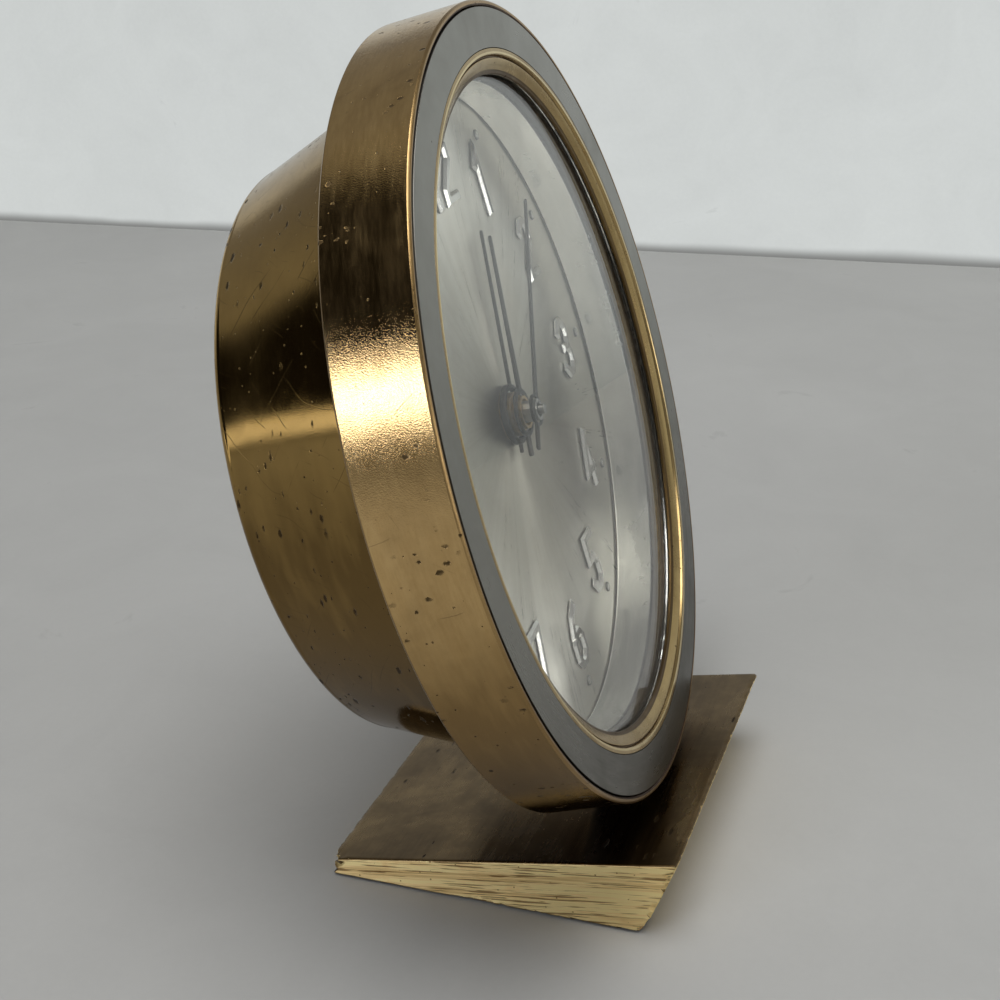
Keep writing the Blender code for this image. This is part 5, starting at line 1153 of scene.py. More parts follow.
ARBOR_STEEL = Metal(
    "arbor_steel", STEEL, (0.22, 0.19, 0.15), 0.28, grain=Grain.STRAIGHT, across=5.0, along=1.0,
    cover=0.3, pit_share=0.15, scratch_colour=(0.75, 0.74, 0.71), source=Source.CLOCK, relief=0.008,
)
BLUED_STEEL = Metal(
    "blued_spring", (0.055, 0.08, 0.22), (0.10, 0.07, 0.06), 0.28, grain=Grain.STRAIGHT, across=5.0,
    along=1.0, cover=0.3, pit_share=0.15, scratch_colour=(0.4, 0.42, 0.5), source=Source.CLOCK,
    relief=0.008,
)
GASKET_RUBBER = Matt("gasket_rubber", (0.030, 0.026, 0.021), (0.09, 0.08, 0.065), 0.62)
PAD_FELT = Matt("pad_felt", (0.060, 0.036, 0.020), (0.12, 0.09, 0.06), 0.95, scale=0.5, relief=0.25,
                fleck=3.0)
CRYSTAL_GLASS = Glass("crystal_glass")

Finish = Metal | Matt | Glass


class Wardrobe:
    """Keeps one material for each finish."""

    def __init__(self, shelf: EffectShelf) -> None:
        """Makes its materials with the effects on this shelf."""
        self.shelf = shelf
        self.made: dict[str, bpy.types.Material] = {}

    def of(self, finish: Finish) -> bpy.types.Material:
        """The material of a finish, made when it is first asked for."""
        if finish.name not in self.made:
            self.made[finish.name] = finish.dressed(self.shelf)
        return self.made[finish.name]


# Placing pieces


@dataclass(frozen=True)
class Stance:
    """How the case leans back on its foot, and how the foot is turned."""

    lean: float = 15.7
    centre: tuple[float, float, float] = (0.0, -5.0307, 54.4797)
    foot_turn: float = -4.0

    def case(self) -> Matrix:
        """Frame of the case: its origin in the middle of the front face, +Z out of the dial."""
        turn = Matrix.Rotation(math.radians(90.0 - self.lean), 4, "X")
        return Matrix.Translation(Vector(self.centre) * MM) @ turn

    def foot(self) -> Matrix:
        """Frame of the foot: its origin on the table under the middle."""
        return Matrix.Rotation(math.radians(self.foot_turn), 4, "Z")


@dataclass
class Bench:
    """Turns shapes into named pieces that ride on the clock's bodies."""

    stance: Stance
    wardrobe: Wardrobe
    nodes: dict[str, bpy.types.Object]
    dressed: set[str] = field(default_factory=set)

    def piece(self, name: str, mesh: bpy.types.Mesh, finish: Finish, slot: str, body: str = "case",
              stands_for: Sequence[str] = (), at: Point = (0.0, 0.0), frame: Matrix | None = None,
              top_finish: Finish | None = None) -> None:
        """Places one piece.

        Args:
            name: Name of the piece.
            mesh: Its mesh, in the frame it is placed in.
            finish: Its finish.
            slot: Material slot of the record; not used.
            body: Body it rides on.
            stands_for: Solids that it is shown for.
            at: Where its axis is in the case, in millimetres.
            frame: Its frame, if it isn't the case's.
            top_finish: Finish of the faces that look up, if they have another.
        """
        made = bpy.data.objects.new(name, mesh)
        bpy.context.scene.collection.objects.link(made)
        axis = Matrix.Translation((at[0] * MM, at[1] * MM, 0.0))
        made.matrix_world = frame or self.stance.case() @ axis
        mesh.materials.clear()
        mesh.materials.append(self.wardrobe.of(finish))
        if top_finish:
            mesh.materials.append(self.wardrobe.of(top_finish))
            for face in mesh.polygons:
                face.material_index = int(face.normal.z > UP_FACING)
        normals = made.modifiers.new("Even shading", "WEIGHTED_NORMAL")
        normals.keep_sharp = True
        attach(made, body)
        if stands_for:
            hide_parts(*stands_for)
            self.dressed.update(stands_for)
        LOG.info("%s: %d faces, rides on %s", name, len(mesh.polygons), body)

    def carry(self, name: str, finish: Finish, slot: str) -> None:
        """Dresses a solid that is shown as it is."""
        node = self.nodes[name]
        node.data.materials.clear()
        node.data.materials.append(self.wardrobe.of(finish))
        self.dressed.add(name)
        LOG.info("%s: shown as built", name)


# Sub-assemblies


@dataclass(frozen=True)
class Foot:
    """Wedge foot with its pad, the saddle that holds the case, and the screw through it."""

    width: float = 46.5
    section: tuple[Point, ...] = ((-19.05, 0.2), (19.05, 0.2), (19.43, 2.27), (-22.95, 9.97))
    edge: float = 0.2
    pad: tuple[float, float, float] = (42.5, 34.1, 1.0)
    rows: int = 120
    rounding: int = 4
    nick_depth: float = 0.6
    nick_pitch: float = 0.45
    nick_width: float = 0.7
    side_reach: float = 1.9
    other_reach: float = 0.35
    break_radius: float = 2.3
    top_height: float = 9.9
    top_slope: float = 0.1817
    pad_gap: float = 0.3
    pad_recess: float = 1.15
    pocket: tuple[float, float, float] = (15.3, 4.8, 5.9)
    pocket_place: tuple[float, float, float] = (0.0, -46.3, -3.15)

    def levels(self) -> list[tuple[float, float]]:
        """Places along X, each with how far the outline is drawn in there."""
        half = self.width / 2.0
        ends = [(-half + self.edge * along, self.edge * inwards)
                for inwards, along in quarter(self.rounding)]
        flat = self.width - 2 * self.edge
        middle = [(-half + self.edge + flat * k / self.rows, 0.0) for k in range(1, self.rows)]
        return ends + middle + [(-x, offset) for x, offset in reversed(ends)]

    def outline(self) -> Outline:
        """Side outline with rounded corners and points close enough for nicks."""
        rounded = filleted(self.section, self.edge + 0.05, 3)
        outline: Outline = []
        for here, there in zip(rounded, rounded[1:] + rounded[:1]):
            parts = max(1, round(math.dist(here, there) / self.nick_pitch))
            outline += [(here[0] + (there[0] - here[0]) * k / parts,
                         here[1] + (there[1] - here[1]) * k / parts) for k in range(parts)]
        return wound(outline, hole=False)

    def nicked(self, here: Vector) -> Vector:
        """Moves a point near a worn edge or a broken corner inwards.

        Args:
            here: The point.

        Returns:
            The moved point.
        """
        x, y, z = here
        half = self.width / 2.0
        corner = min((Vector((y, z)) - Vector(point)).length for point in self.section)
        reach = self.other_reach
        if z < self.top_at(y) - 0.6:
            corner = min(corner, (half - abs(x)) * 1.2)
            reach = self.side_reach if abs(x) > half - self.edge else self.other_reach
        chip = noise.noise(Vector((x * 0.55, y * 0.6, z * 0.6 + 3.0)))
        fine = noise.noise(Vector((x * 1.7, y * 1.9, z * 1.9 + 9.0)))
        dent = max(0.0, chip - 0.10) * 1.6 + max(0.0, fine - 0.14) * 1.8
        near = max(0.0, 1.0 - corner / self.nick_width)
        for y_end, z_end in (self.section[0], self.section[2]):
            end = Vector((-half, y_end, z_end))
            broken = max(0.0, 1.0 - (here - end).length / self.break_radius)
            if broken:
                dent += broken * (0.35 + 1.4 * max(0.0, fine + 0.2))
                near, reach = 1.0, self.side_reach
        inwards = (Vector((x, -1.0, 3.0)) - here).normalized()
        return here + inwards * self.nick_depth * reach * dent * near

    def top_at(self, y: float) -> float:
        """Height of the top face, a little under its edges."""
        return self.top_height - (y - self.section[3][0]) * self.top_slope

    def wedge(self) -> bpy.types.Mesh:
        """Wedge with rounded, nicked edges, before the recess for the pad.

        Returns:
            The mesh.
        """
        shape = Shape()
        loops = []
        for x, offset in self.levels():
            start = len(shape.points)
            shape.points += [self.nicked(Vector((x, y, z))) for y, z in inset(self.outline(), offset)]
            loops.append(list(range(start, len(shape.points))))
        for first, second in zip(loops, loops[1:]):
            shape.bridge(first, second)
        for row in (loops[0], loops[-1]):
            shape.cap([row])
        return shape.mesh("foot_wedge", 40.0)

    def build(self, bench: Bench) -> None:
        """Places the foot's pieces."""
        frame = bench.stance.foot()
        width, depth, thickness = self.pad
        opening = rectangle(width + self.pad_gap, depth + self.pad_gap)
        recess = Shape().cutter(opening, -self.pad_recess, 3.0)
        pocket = Shape().cutter(rectangle(*self.pocket[:2]), 0.0, self.pocket[2])
        pocket_mesh = pocket.moved(Matrix.Translation(self.pocket_place)).mesh("pocket")
        pocket_mesh.transform(frame.inverted() @ bench.stance.case())
        mesh = combined(self.wedge(), recess.mesh("recess"), Joining.DIFFERENCE)
        mesh = combined(mesh, pocket_mesh, Joining.DIFFERENCE)
        bench.piece("foot_wedge_brass", mesh, FOOT_BRASS, "brass", stands_for=("foot_wedge",),
                    frame=frame, top_finish=FOOT_TOP_BRASS)
        pad = Shape().plate([filleted(rectangle(width, depth), 1.2)], -thickness, thickness, 0.15, 3)
        bench.piece("foot_pad_felt", pad.mesh("foot_pad"), PAD_FELT, "felt", stands_for=("foot_pad",),
                    frame=frame)
        bench.carry("case_saddle", PLATE_BRASS, "brass")
        bench.carry("foot_screw", ARBOR_STEEL, "steel")


@dataclass(frozen=True)
class Ring:
    """A turned ring: the corners of its section in radius and depth, and its finish."""

    piece: str
    node: str
    finish: Finish
    slot: str
    rounding: tuple[float, int]
    corners: tuple[Point, ...]
    steps: int = 256

    def build(self, bench: Bench) -> None:
        """Places the ring."""
        mesh = Shape().turned(filleted(self.corners, *self.rounding), self.steps).mesh(self.node)
        bench.piece(self.piece, mesh, self.finish, self.slot, stands_for=(self.node,))


RIM = Ring("case_rim_brass", "case_rim", RIM_BRASS, "brass", (0.22, 3), (
    (45.78, 0.06), (46.0, 0.28), (46.0, 9.38), (45.78, 9.6), (40.6, 9.6), (40.6, 5.0), (39.6, 5.0),
    (39.6, 4.4), (40.9, 4.4), (40.9, 1.55), (45.28, 1.55), (45.28, 0.25), (45.42, 0.10),
), steps=288)
ANNULUS = Ring("front_annulus_grey", "front_annulus", GREY_RING, "grey_steel", (0.06, 2), (
    (45.14, 0.02), (45.14, 1.25), (40.66, 1.25), (40.66, 0.02),
))
BEZEL = Ring("inner_bezel_gilt", "inner_bezel", GILT, "gilt", (0.05, 2), (
    (40.6, 0.05), (40.6, 1.45), (38.0, 1.45), (38.0, 1.2), (38.08, 1.08), (38.3, 1.02), (38.55, 0.87),
    (38.8, 0.72), (39.05, 0.58), (39.3, 0.46), (39.50, 0.38), (39.62, 0.36), (39.70, 0.62),
    (39.80, 0.62), (39.90, 0.16), (40.0, 0.05),
))
GASKET = Ring("crystal_gasket_ring", "crystal_gasket", GASKET_RUBBER, "rubber", (0.12, 3), (
    (40.6, 1.75), (40.6, 4.1), (38.0, 4.1), (38.0, 3.3), (38.9, 3.3), (38.9, 1.75),
))
RECESS_WALL = Ring("recess_wall_ring", "recess_wall", PALE_WALL, "pale_silver", (0.08, 3), (
    (39.0, 4.4), (39.0, 9.2), (38.4, 9.2), (38.0, 4.4),
))


@dataclass(frozen=True)
class Crystal:
    """Thin domed glass in the gasket."""

    dome_radius: float = 36.9
    dome_front: float = 1.40
    dome_edge: float = 1.75
    thickness: float = 0.6
    radius: float = 38.6
    chamfer: float = 0.15
    rings: int = 14
    steps: int = 256

    def build(self, bench: Bench) -> None:
        """Places the crystal."""
        shares = [i / self.rings for i in range(self.rings + 1)]
        rise = self.dome_edge - self.dome_front
        dome = [(self.dome_radius * share, self.dome_edge - rise * (1.0 - share ** 2))
                for share in shares]
        edge = [(self.radius - self.chamfer, self.dome_edge),
                (self.radius, self.dome_edge + self.chamfer),
                (self.radius, self.dome_edge + self.thickness)]
        back = [(radius, depth + self.thickness) for radius, depth in reversed(dome)]
        mesh = Shape().turned(dome + edge + back, self.steps).mesh("crystal")
        bench.piece("crystal_glass", mesh, CRYSTAL_GLASS, "crystal", stands_for=("crystal",))


DIGITS: dict[str, tuple[tuple[Point, ...], ...]] = {
    "0": (((-1, -1.4), (-1, 1.4), (-0.4, 2), (0.4, 2), (1, 1.4), (1, -1.4), (0.4, -2), (-0.4, -2),
           (-1, -1.4)),),
    "1": (((-0.55, 1.35), (0, 2), (0, -2)),),
    "2": (((-1, 1.4), (-0.4, 2), (0.4, 2), (1, 1.4), (1, 0.5), (-1, -1.3), (-1, -2), (1, -2)),),
    "3": (
        ((-1, 1.4), (-0.4, 2), (0.4, 2), (1, 1.4), (1, 0.6), (0.5, 0), (1, -0.6), (1, -1.4), (0.4, -2),
         (-0.4, -2), (-1, -1.4)),
        ((0.7, 0), (-0.2, 0)),
    ),
    "4": (((0.9, -0.9), (-1.1, -0.9), (0.4, 2)), ((0.45, 0.4), (0.45, -2))),
    "5": (((1, 2), (-0.9, 2), (-0.9, 0.3), (0.4, 0.3), (1, -0.3), (1, -1.4), (0.4, -2), (-0.4, -2),
           (-1, -1.4)),),
    "6": (
        ((0.8, 2), (-0.3, 1.5), (-0.85, 0.4)),
        ((-1, -1.4), (-1, -0.3), (-0.4, 0.3), (0.4, 0.3), (1, -0.3), (1, -1.4), (0.4, -2), (-0.4, -2),
         (-1, -1.4)),
    ),
    "7": (((-1, 2), (1, 2), (-0.3, -2)),),
    "8": (
        ((-0.85, 0.6), (-0.85, 1.5), (-0.3, 2), (0.3, 2), (0.85, 1.5), (0.85, 0.6), (0.3, 0.1),
         (-0.3, 0.1), (-0.85, 0.6)),
        ((-1, -1.4), (-1, -0.6), (-0.4, 0), (0.4, 0), (1, -0.6), (1, -1.4), (0.4, -2), (-0.4, -2),
         (-1, -1.4)),
    ),
    "9": (
        ((-0.8, -2), (0.3, -1.5), (0.85, -0.4)),
        ((1, 1.4), (1, 0.3), (0.4, -0.3), (-0.4, -0.3), (-1, 0.3), (-1, 1.4), (-0.4, 2), (0.4, 2),
         (1, 1.4)),
    ),
}


@dataclass(frozen=True)
class Dial:
    """Silvered disc with raised numerals and hour dots."""

    radius: float = 38.9
    hole: float = 3.0
    depth: float = 9.5
    thickness: float = 0.5
    numeral_radius: float = 28.0
    numeral_rise: float = 29.2
    numeral_height: float = 8.2
    numeral_width: float = 4.6
    stroke: float = 1.3
    relief: float = 0.6
    bevel: float = 0.3
    pitch: float = 4.75
    dot_radius: float = 0.65
    dot_circle: float = 35.3
    dot_relief: float = 0.35
    dot_rise: float = 0.2
    sunk: float = 0.1

    def disc(self) -> bpy.types.Mesh:
        """The flat disc with its centre hole."""
        outlines = [circle(self.radius, 256), circle(self.hole, 64)]
        return Shape().plate(outlines, self.depth, self.thickness, 0.05).mesh("dial")

    def digit(self, digit: str, centre: Point) -> bpy.types.Mesh:
        """One raised digit with bevelled edges.

        Args:
            digit: The digit.
            centre: Its middle on the dial.

        Returns:
            The mesh.
        """
        half_width = (self.numeral_width - self.stroke) / 2.0
        half_height = (self.numeral_height - self.stroke) / 2.0
        made = None
        front = self.depth - self.relief
        for line in DIGITS[digit]:
            points = [(centre[0] + x * half_width, centre[1] + y / 2.0 * half_height) for x, y in line]
            outlines = bar_outlines(points, self.stroke)
            outlines.sort(key=lambda outline: -abs(area_of(outline)))
            stroke = Shape().plate(outlines, front, self.relief + self.sunk, self.bevel, 1)
            mesh = stroke.mesh(f"digit_{digit}")
            made = mesh if made is None else combined(made, mesh, Joining.UNION)
        return made

    def numerals(self) -> bpy.types.Mesh:
        """All twelve numerals, upright, as one mesh.

        Returns:
            The mesh.
        """
        work = bmesh.new()
        for hour in range(1, 13):
            x, y = polar(self.numeral_radius, 90.0 - 30.0 * hour)
            y *= self.numeral_rise / self.numeral_radius
            digits = str(hour)
            for place, digit in enumerate(digits):
                offset = (place - (len(digits) - 1) / 2.0) * self.pitch
                part = self.digit(digit, (x + offset, y))
                work.from_mesh(part)
                bpy.data.meshes.remove(part)
        mesh = bpy.data.meshes.new("numerals")
        work.to_mesh(mesh)
        work.free()
        tidy_mesh(mesh, 25.0)
        return mesh

    def dots(self) -> bpy.types.Mesh:
        """Twelve low domes at the hours.

        Returns:
            The mesh.
        """
        shape = Shape()
        front = self.depth - self.dot_relief
        profile = [(self.dot_radius * (1.0 - short), front + self.dot_rise * back)
                   for short, back in quarter(5)]
        profile += [(self.dot_radius, self.depth + self.sunk), (0.0, self.depth + self.sunk)]
        for hour in range(12):
            shape.turned(profile, 24, polar(self.dot_circle, 90.0 - 30.0 * hour))
        return shape.mesh("dots")

    def build(self, bench: Bench) -> None:
        """Places the dial, its numerals and its dots."""
        bench.piece("dial_disc", self.disc(), SILVER_DIAL, "silver", stands_for=("dial",))
        bench.piece("dial_numerals", self.numerals(), NUMERAL_SILVER, "silver")
        bench.piece("dial_hour_dots", self.dots(), NUMERAL_SILVER, "silver")


@dataclass(frozen=True)
class HandSize:
    """Sizes of one slim tapered hand."""

    length: float
    tail: float
    hub: float
    bore: float
    root: float
    tip: float
    angle: float
    front: float
    thickness: float = 0.35

    def outline(self) -> Outline:
        """Outline with a round hub and a tail, turned to its clock angle.

        Returns:
            The outline.
        """
        steps = 20
        top = math.degrees(math.acos(self.root / 2.0 / self.hub))
        right = [(self.tip * 0.2, self.length), (self.tip / 2.0, self.length - 0.3)]
        right += [polar(self.hub, top - 2.0 * top * i / steps) for i in range(steps + 1)]
        right += [(self.root / 2.0, -self.tail + 0.2), (self.root * 0.3, -self.tail)]
        left = [(-x, y) for x, y in reversed(right)]
        spin = Matrix.Rotation(-math.radians(self.angle), 2)
        return [tuple(spin @ Vector(point)) for point in right + left]

    def mesh(self, name: str) -> bpy.types.Mesh:
        """The hand's mesh."""
        outlines = [self.outline(), circle(self.bore, 48)]
        return Shape().plate(outlines, self.front, self.thickness, 0.09, 3).mesh(name)


@dataclass(frozen=True)
class Hands:
    """Minute, hour and alarm hands."""

    minute: HandSize = HandSize(length=28.4, tail=5.0, hub=1.9, bore=1.55, root=0.78, tip=0.40,
                                angle=41.0, front=5.8)
    hour: HandSize = HandSize(length=21.0, tail=5.2, hub=2.9, bore=2.25, root=1.05, tip=0.50,
                              angle=17.5, front=7.4)
    alarm: HandSize = HandSize(length=21.9, tail=4.6, hub=3.6, bore=2.95, root=0.62, tip=0.36,
                               angle=18.5, front=8.46)
    hub_front: float = 8.4
    hub_thickness: float = 0.8

    def alarm_mesh(self) -> bpy.types.Mesh:
        """Thin blade and tail on a thick round hub."""
        hub = Shape().plate([circle(self.alarm.hub, 96), circle(self.alarm.bore, 64)], self.hub_front,
                            self.hub_thickness, 0.18, 4)
        return combined(hub.mesh("alarm_hand"), self.alarm.mesh("alarm_blade"), Joining.UNION)

    def build(self, bench: Bench) -> None:
        """Places the hands and the arbor."""
        for name, mesh, body in (
            ("minute_hand", self.minute.mesh("minute_hand"), "minute_arbor"),
            ("hour_hand", self.hour.mesh("hour_hand"), "hour_pipe"),
            ("alarm_hand", self.alarm_mesh(), "alarm_pipe"),
        ):
            bench.piece(f"{name}_blade", mesh, DARK_STEEL, "dark_steel", body=body, stands_for=(name,))
        bench.carry("centre_arbor", ARBOR_STEEL, "steel")


@dataclass(frozen=True)
class RearDrum:
    """Tapered spun drum behind the rim, with a rounded rear edge and a ledge for the cover."""

    front_radius: float = 40.3
    rear_radius: float = 34.0
    seam: float = 9.9
    rear: float = 28.3
    corner: float = 1.1
    wall: float = 1.0
    front: float = 5.3
    ledge: tuple[Point, ...] = ((31.55, 28.3), (31.5, 28.25), (31.5, 27.1), (27.5, 27.1), (27.5, 26.4))
    rows: int = 6
    rounding: int = 8
    steps: int = 288

    def slope(self) -> float:
        """How much the radius falls for each millimetre of depth."""
        return (self.front_radius - self.rear_radius) / (self.rear - self.seam)

    def radius_at(self, depth: float) -> float:
        """Outer radius at a depth behind the seam."""
        return self.front_radius - self.slope() * (depth - self.seam)

    def build(self, bench: Bench) -> None:
        """Places the drum."""
        outer = [(self.front_radius, self.front), (self.front_radius, self.seam)]
        for i in range(1, self.rows):
            depth = self.seam + (self.rear - self.corner - self.seam) * i / self.rows
            outer.append((self.radius_at(depth), depth))
        start = self.rear_radius + self.slope() * self.corner
        outer += [(start - self.corner * inwards, self.rear - self.corner * short)
                  for short, inwards in quarter(self.rounding)]
        back = self.ledge[-1][1]
        inner_radius = self.front_radius - self.wall
        inner = [(self.radius_at(back) - self.wall, back), (inner_radius, self.seam),
                 (inner_radius, self.front)]
        mesh = Shape().turned(outer + list(self.ledge) + inner, self.steps).mesh("rear_drum")
        bench.piece("rear_drum_brass", mesh, DRUM_BRASS, "polished_brass", stands_for=("rear_drum",))


@dataclass(frozen=True)
class Sites:
    """Places of the arbors behind the dial."""

    alarm_set: Point = (-9.35307, 5.40)
    going: Point = (-7.02058, -10.03)
    alarm: Point = (13.5, -12.5)
    stop: Point = (15.5, -1.5)
    balance: Point = (22.05, 9.45)


@dataclass(frozen=True)
class BackCover:
    """Flat brass cover with its holes, and three slotted screws."""

    sites: Sites = Sites()
    radius: float = 31.2
    front: float = 27.4
    thickness: float = 0.9
    screw_circle: float = 29.3
    screw_angles: tuple[float, ...] = (100.0, 220.0, 340.0)
    head_radius: float = 1.5
    head_front: float = 28.6
    head_height: float = 0.8
    slot_width: float = 0.5
    slot_depth: float = 0.4
    arbor_hole: float = 1.1
    small_hole: float = 1.0
    winding_hole: float = 1.5
    sound_circle: float = 26.0
    sound_pitch: float = 7.0
    regulator_radii: tuple[float, float] = (8.7, 7.3)
    regulator_start: float = 188.0
    regulator_sweep: float = 54.0

    def holes(self) -> list[Outline]:
        """Outlines of all the holes.

        Returns:
            The outlines.
        """
        sites = self.sites
        holes = [circle(self.arbor_hole, 40), circle(self.small_hole, 40, sites.alarm_set),
                 circle(self.winding_hole, 48, sites.going), circle(self.winding_hole, 48, sites.alarm),
                 circle(self.arbor_hole, 40, sites.stop)]
        places = [polar(self.screw_circle, angle) for angle in self.screw_angles]
        places += [polar(self.sound_circle, -90.0 + self.sound_pitch * i) for i in range(-2, 3)]
        holes += [circle(self.small_hole, 32, place) for place in places]
        steps = 24
        sides = []
        for radius in self.regulator_radii:
            side = [polar(radius, self.regulator_start + self.regulator_sweep * i / steps)
                    for i in range(steps + 1)]
            sides.append([(sites.balance[0] + x, sites.balance[1] + y) for x, y in side])
        holes.append(filleted(sides[0] + sides[1][::-1], 0.6, 4))
        return holes

    def screw(self) -> bpy.types.Mesh:
        """Cheese-head screw with a straight slot, on its own axis.

        Returns:
            The mesh.
        """
        back = self.head_front + self.head_height
        profile = [
            (0.0, 26.0), (0.7, 26.0), (0.7, self.head_front), (self.head_radius, self.head_front),
            (self.head_radius, back - 0.2), (self.head_radius - 0.06, back - 0.08),
            (self.head_radius - 0.2, back), (0.0, back + 0.03),
        ]
        slot = Shape().cutter(rectangle(4.0, self.slot_width), back - self.slot_depth, 1.0)
        return combined(Shape().turned(profile, 48).mesh("cover_screw"), slot.mesh("slot"),
                        Joining.DIFFERENCE)

    def build(self, bench: Bench) -> None:
        """Places the cover and its screws."""
        outlines = [circle(self.radius, 192), *self.holes()]
        cover = Shape().plate(outlines, self.front, self.thickness, 0.12, 3).mesh("back_cover")
        bench.piece("back_cover_brass", cover, COVER_BRASS, "brass", stands_for=("back_cover",))
        for number, angle in enumerate(self.screw_angles, start=1):
            bench.piece(f"cover_screw_{number}_steel", self.screw(), TURNED_STEEL, "steel",
                        stands_for=(f"cover_screw_{number}",), at=polar(self.screw_circle, angle))


@dataclass(frozen=True)
class WindingKeys:
    """Two winding keys with round hubs and rounded wings."""

    sites: Sites = Sites()
    hub_radius: float = 2.3
    hub_front: float = 29.1
    hub_back: float = 32.3
    wing_front: float = 30.3
    wing_reach: float = 6.6
    wing_height: float = 6.4
    wing_thickness: float = 1.5
    wing_root: float = 0.3
    wing_end: float = 2.88
    wing_steps: int = 18
    square: float = 1.1

    def key(self) -> bpy.types.Mesh:
        """One key on its own axis.

        Returns:
            The mesh.
        """
        corners = [(0.0, self.hub_front), (self.hub_radius, self.hub_front),
                   (self.hub_radius, self.hub_back), (0.0, self.hub_back)]
        hub = Shape().turned(filleted(corners, 0.3, 4, sharp=(0, 3)), 64).mesh("winding_key")
        for side in (-1.0, 1.0):
            outline = [(side * self.wing_root, 0.0)]
            for i in range(self.wing_steps + 1):
                share = i / self.wing_steps
                swell = 1.0 + math.sin(math.pi * (share - 0.32))
                outline.append((side * self.wing_reach / 2.0 * swell,
                                self.wing_height / 2.0 * (1.0 - math.cos(math.pi * share))))
            outline.append((side * self.wing_root, self.wing_end))
            wing = Shape().plate([outline], -self.wing_thickness / 2.0, self.wing_thickness, 0.42, 4)
            wing.moved(Matrix.Rotation(math.pi / 2.0, 4, "Z")
                       @ Matrix.Translation((0.0, 0.0, -self.wing_front))
                       @ Matrix.Rotation(-math.pi / 2.0, 4, "X"))
            hub = combined(hub, wing.mesh("wing"), Joining.UNION)
        width = 2.0 * self.square
        socket = Shape().cutter(rectangle(width, width), self.hub_front - 1.0, 3.2)
        return combined(hub, socket.mesh("socket"), Joining.DIFFERENCE)

    def build(self, bench: Bench) -> None:
        """Places both keys."""
        for name, site, body in (("going_key", self.sites.going, "going_winding"),
                                 ("alarm_key", self.sites.alarm, "alarm_winding")):
            bench.piece(f"{name}_brass", self.key(), KEY_BRASS, "brass", body=body, stands_for=(name,),
                        at=site)


@dataclass(frozen=True)
class SettingKnobs:
    """Fluted knobs that set the hands and the alarm, with the button that stops the alarm."""

    sites: Sites = Sites()
    front: float = 28.9
    height: float = 3.6
    hand_radius: float = 4.1
    hand_bore: float = 0.75
    alarm_radius: float = 3.9
    alarm_bore: float = 0.65
    flutes: int = 12
    flute_depth: float = 0.25

    def outline(self, radius: float) -> Outline:
        """Outline of a knob with soft flutes."""
        steps = 16 * self.flutes
        outline = []
        for i in range(steps):
            wave = max(-1.0, min(1.0, 1.6 * math.cos(2.0 * math.pi * self.flutes * i / steps)))
            outline.append(polar(radius - self.flute_depth * (0.5 - 0.5 * wave), 360.0 * i / steps))
        return outline

    def knob(self, radius: float, bore: float) -> bpy.types.Mesh:
        """One knob on its own axis, with a blind bore."""
        body = Shape().plate([self.outline(radius)], self.front, self.height, 0.35, 4).mesh("knob")
        hole = Shape().cutter(circle(bore, 40), self.front - 1.0, 3.4).mesh("bore")
        return combined(body, hole, Joining.DIFFERENCE)

    def build(self, bench: Bench) -> None:
        """Places the knobs and the button."""
        hand_knob = self.knob(self.hand_radius, self.hand_bore)
        bench.piece("hand_set_knob_brass", hand_knob, KEY_BRASS, "brass",
                    body="minute_arbor", stands_for=("hand_set_knob",))
        alarm_knob = self.knob(self.alarm_radius, self.alarm_bore)
        bench.piece("alarm_set_knob_brass", alarm_knob, KEY_BRASS, "brass",
                    body="alarm_setting", stands_for=("alarm_set_knob",), at=self.sites.alarm_set)
        bench.carry("alarm_stop_button", PLATE_BRASS, "brass")


@dataclass(frozen=True)
class Movement:
    """The works between the plates, shown as they are built."""

    brass: tuple[str, ...] = (
        "movement_front_plate", "movement_rear_plate", "movement_pillar_1", "movement_pillar_2",
        "movement_pillar_3", "movement_pillar_4", "hour_wheel", "minute_wheel", "alarm_wheel",
        "third_wheel", "centre_wheel", "escape_wheel", "going_barrel", "alarm_barrel", "strike_wheel",
        "balance_wheel",
    )
    steel: tuple[str, ...] = (
        "cannon_pinion", "alarm_set_arbor", "going_winding_arbor", "alarm_winding_arbor",
        "pallet_lever", "regulator_lever", "alarm_hammer",
    )
    blued: tuple[str, ...] = ("going_spring", "alarm_spring", "hairspring")

    def build(self, bench: Bench) -> None:
        """Dresses every solid of the works."""
        for names, finish, slot in (
            (self.brass, PLATE_BRASS, "brass"),
            (self.steel, ARBOR_STEEL, "steel"),
            (self.blued, BLUED_STEEL, "blued_steel"),
        ):
            for name in names:
                bench.carry(name, finish, slot)


# Studio


@dataclass(frozen=True)
class Lamp:
    """A soft rectangular lamp."""

    name: str
    azimuth: float
    elevation: float
    distance: float
    width: float
    height: float
    radiance: float
    colour: Colour = (1.0, 1.0, 1.0)

    def build(self, aim: Vector) -> None:
        """Places the lamp, facing the clock."""
        out = towards(self.azimuth, self.elevation)
        data = bpy.data.lights.new(self.name, "AREA")
        data.shape = "RECTANGLE"
        data.size = self.width
        data.size_y = self.height
        data.energy = math.pi * self.width * self.height * self.radiance
        data.color = self.colour
        lamp = bpy.data.objects.new(self.name, data)
        lamp.location = aim + out * self.distance
        lamp.rotation_euler = out.to_track_quat("Z", "Y").to_euler()
        lamp.visible_camera = False
        bpy.context.scene.collection.objects.link(lamp)
        LOG.info("lamp %s", self.name)


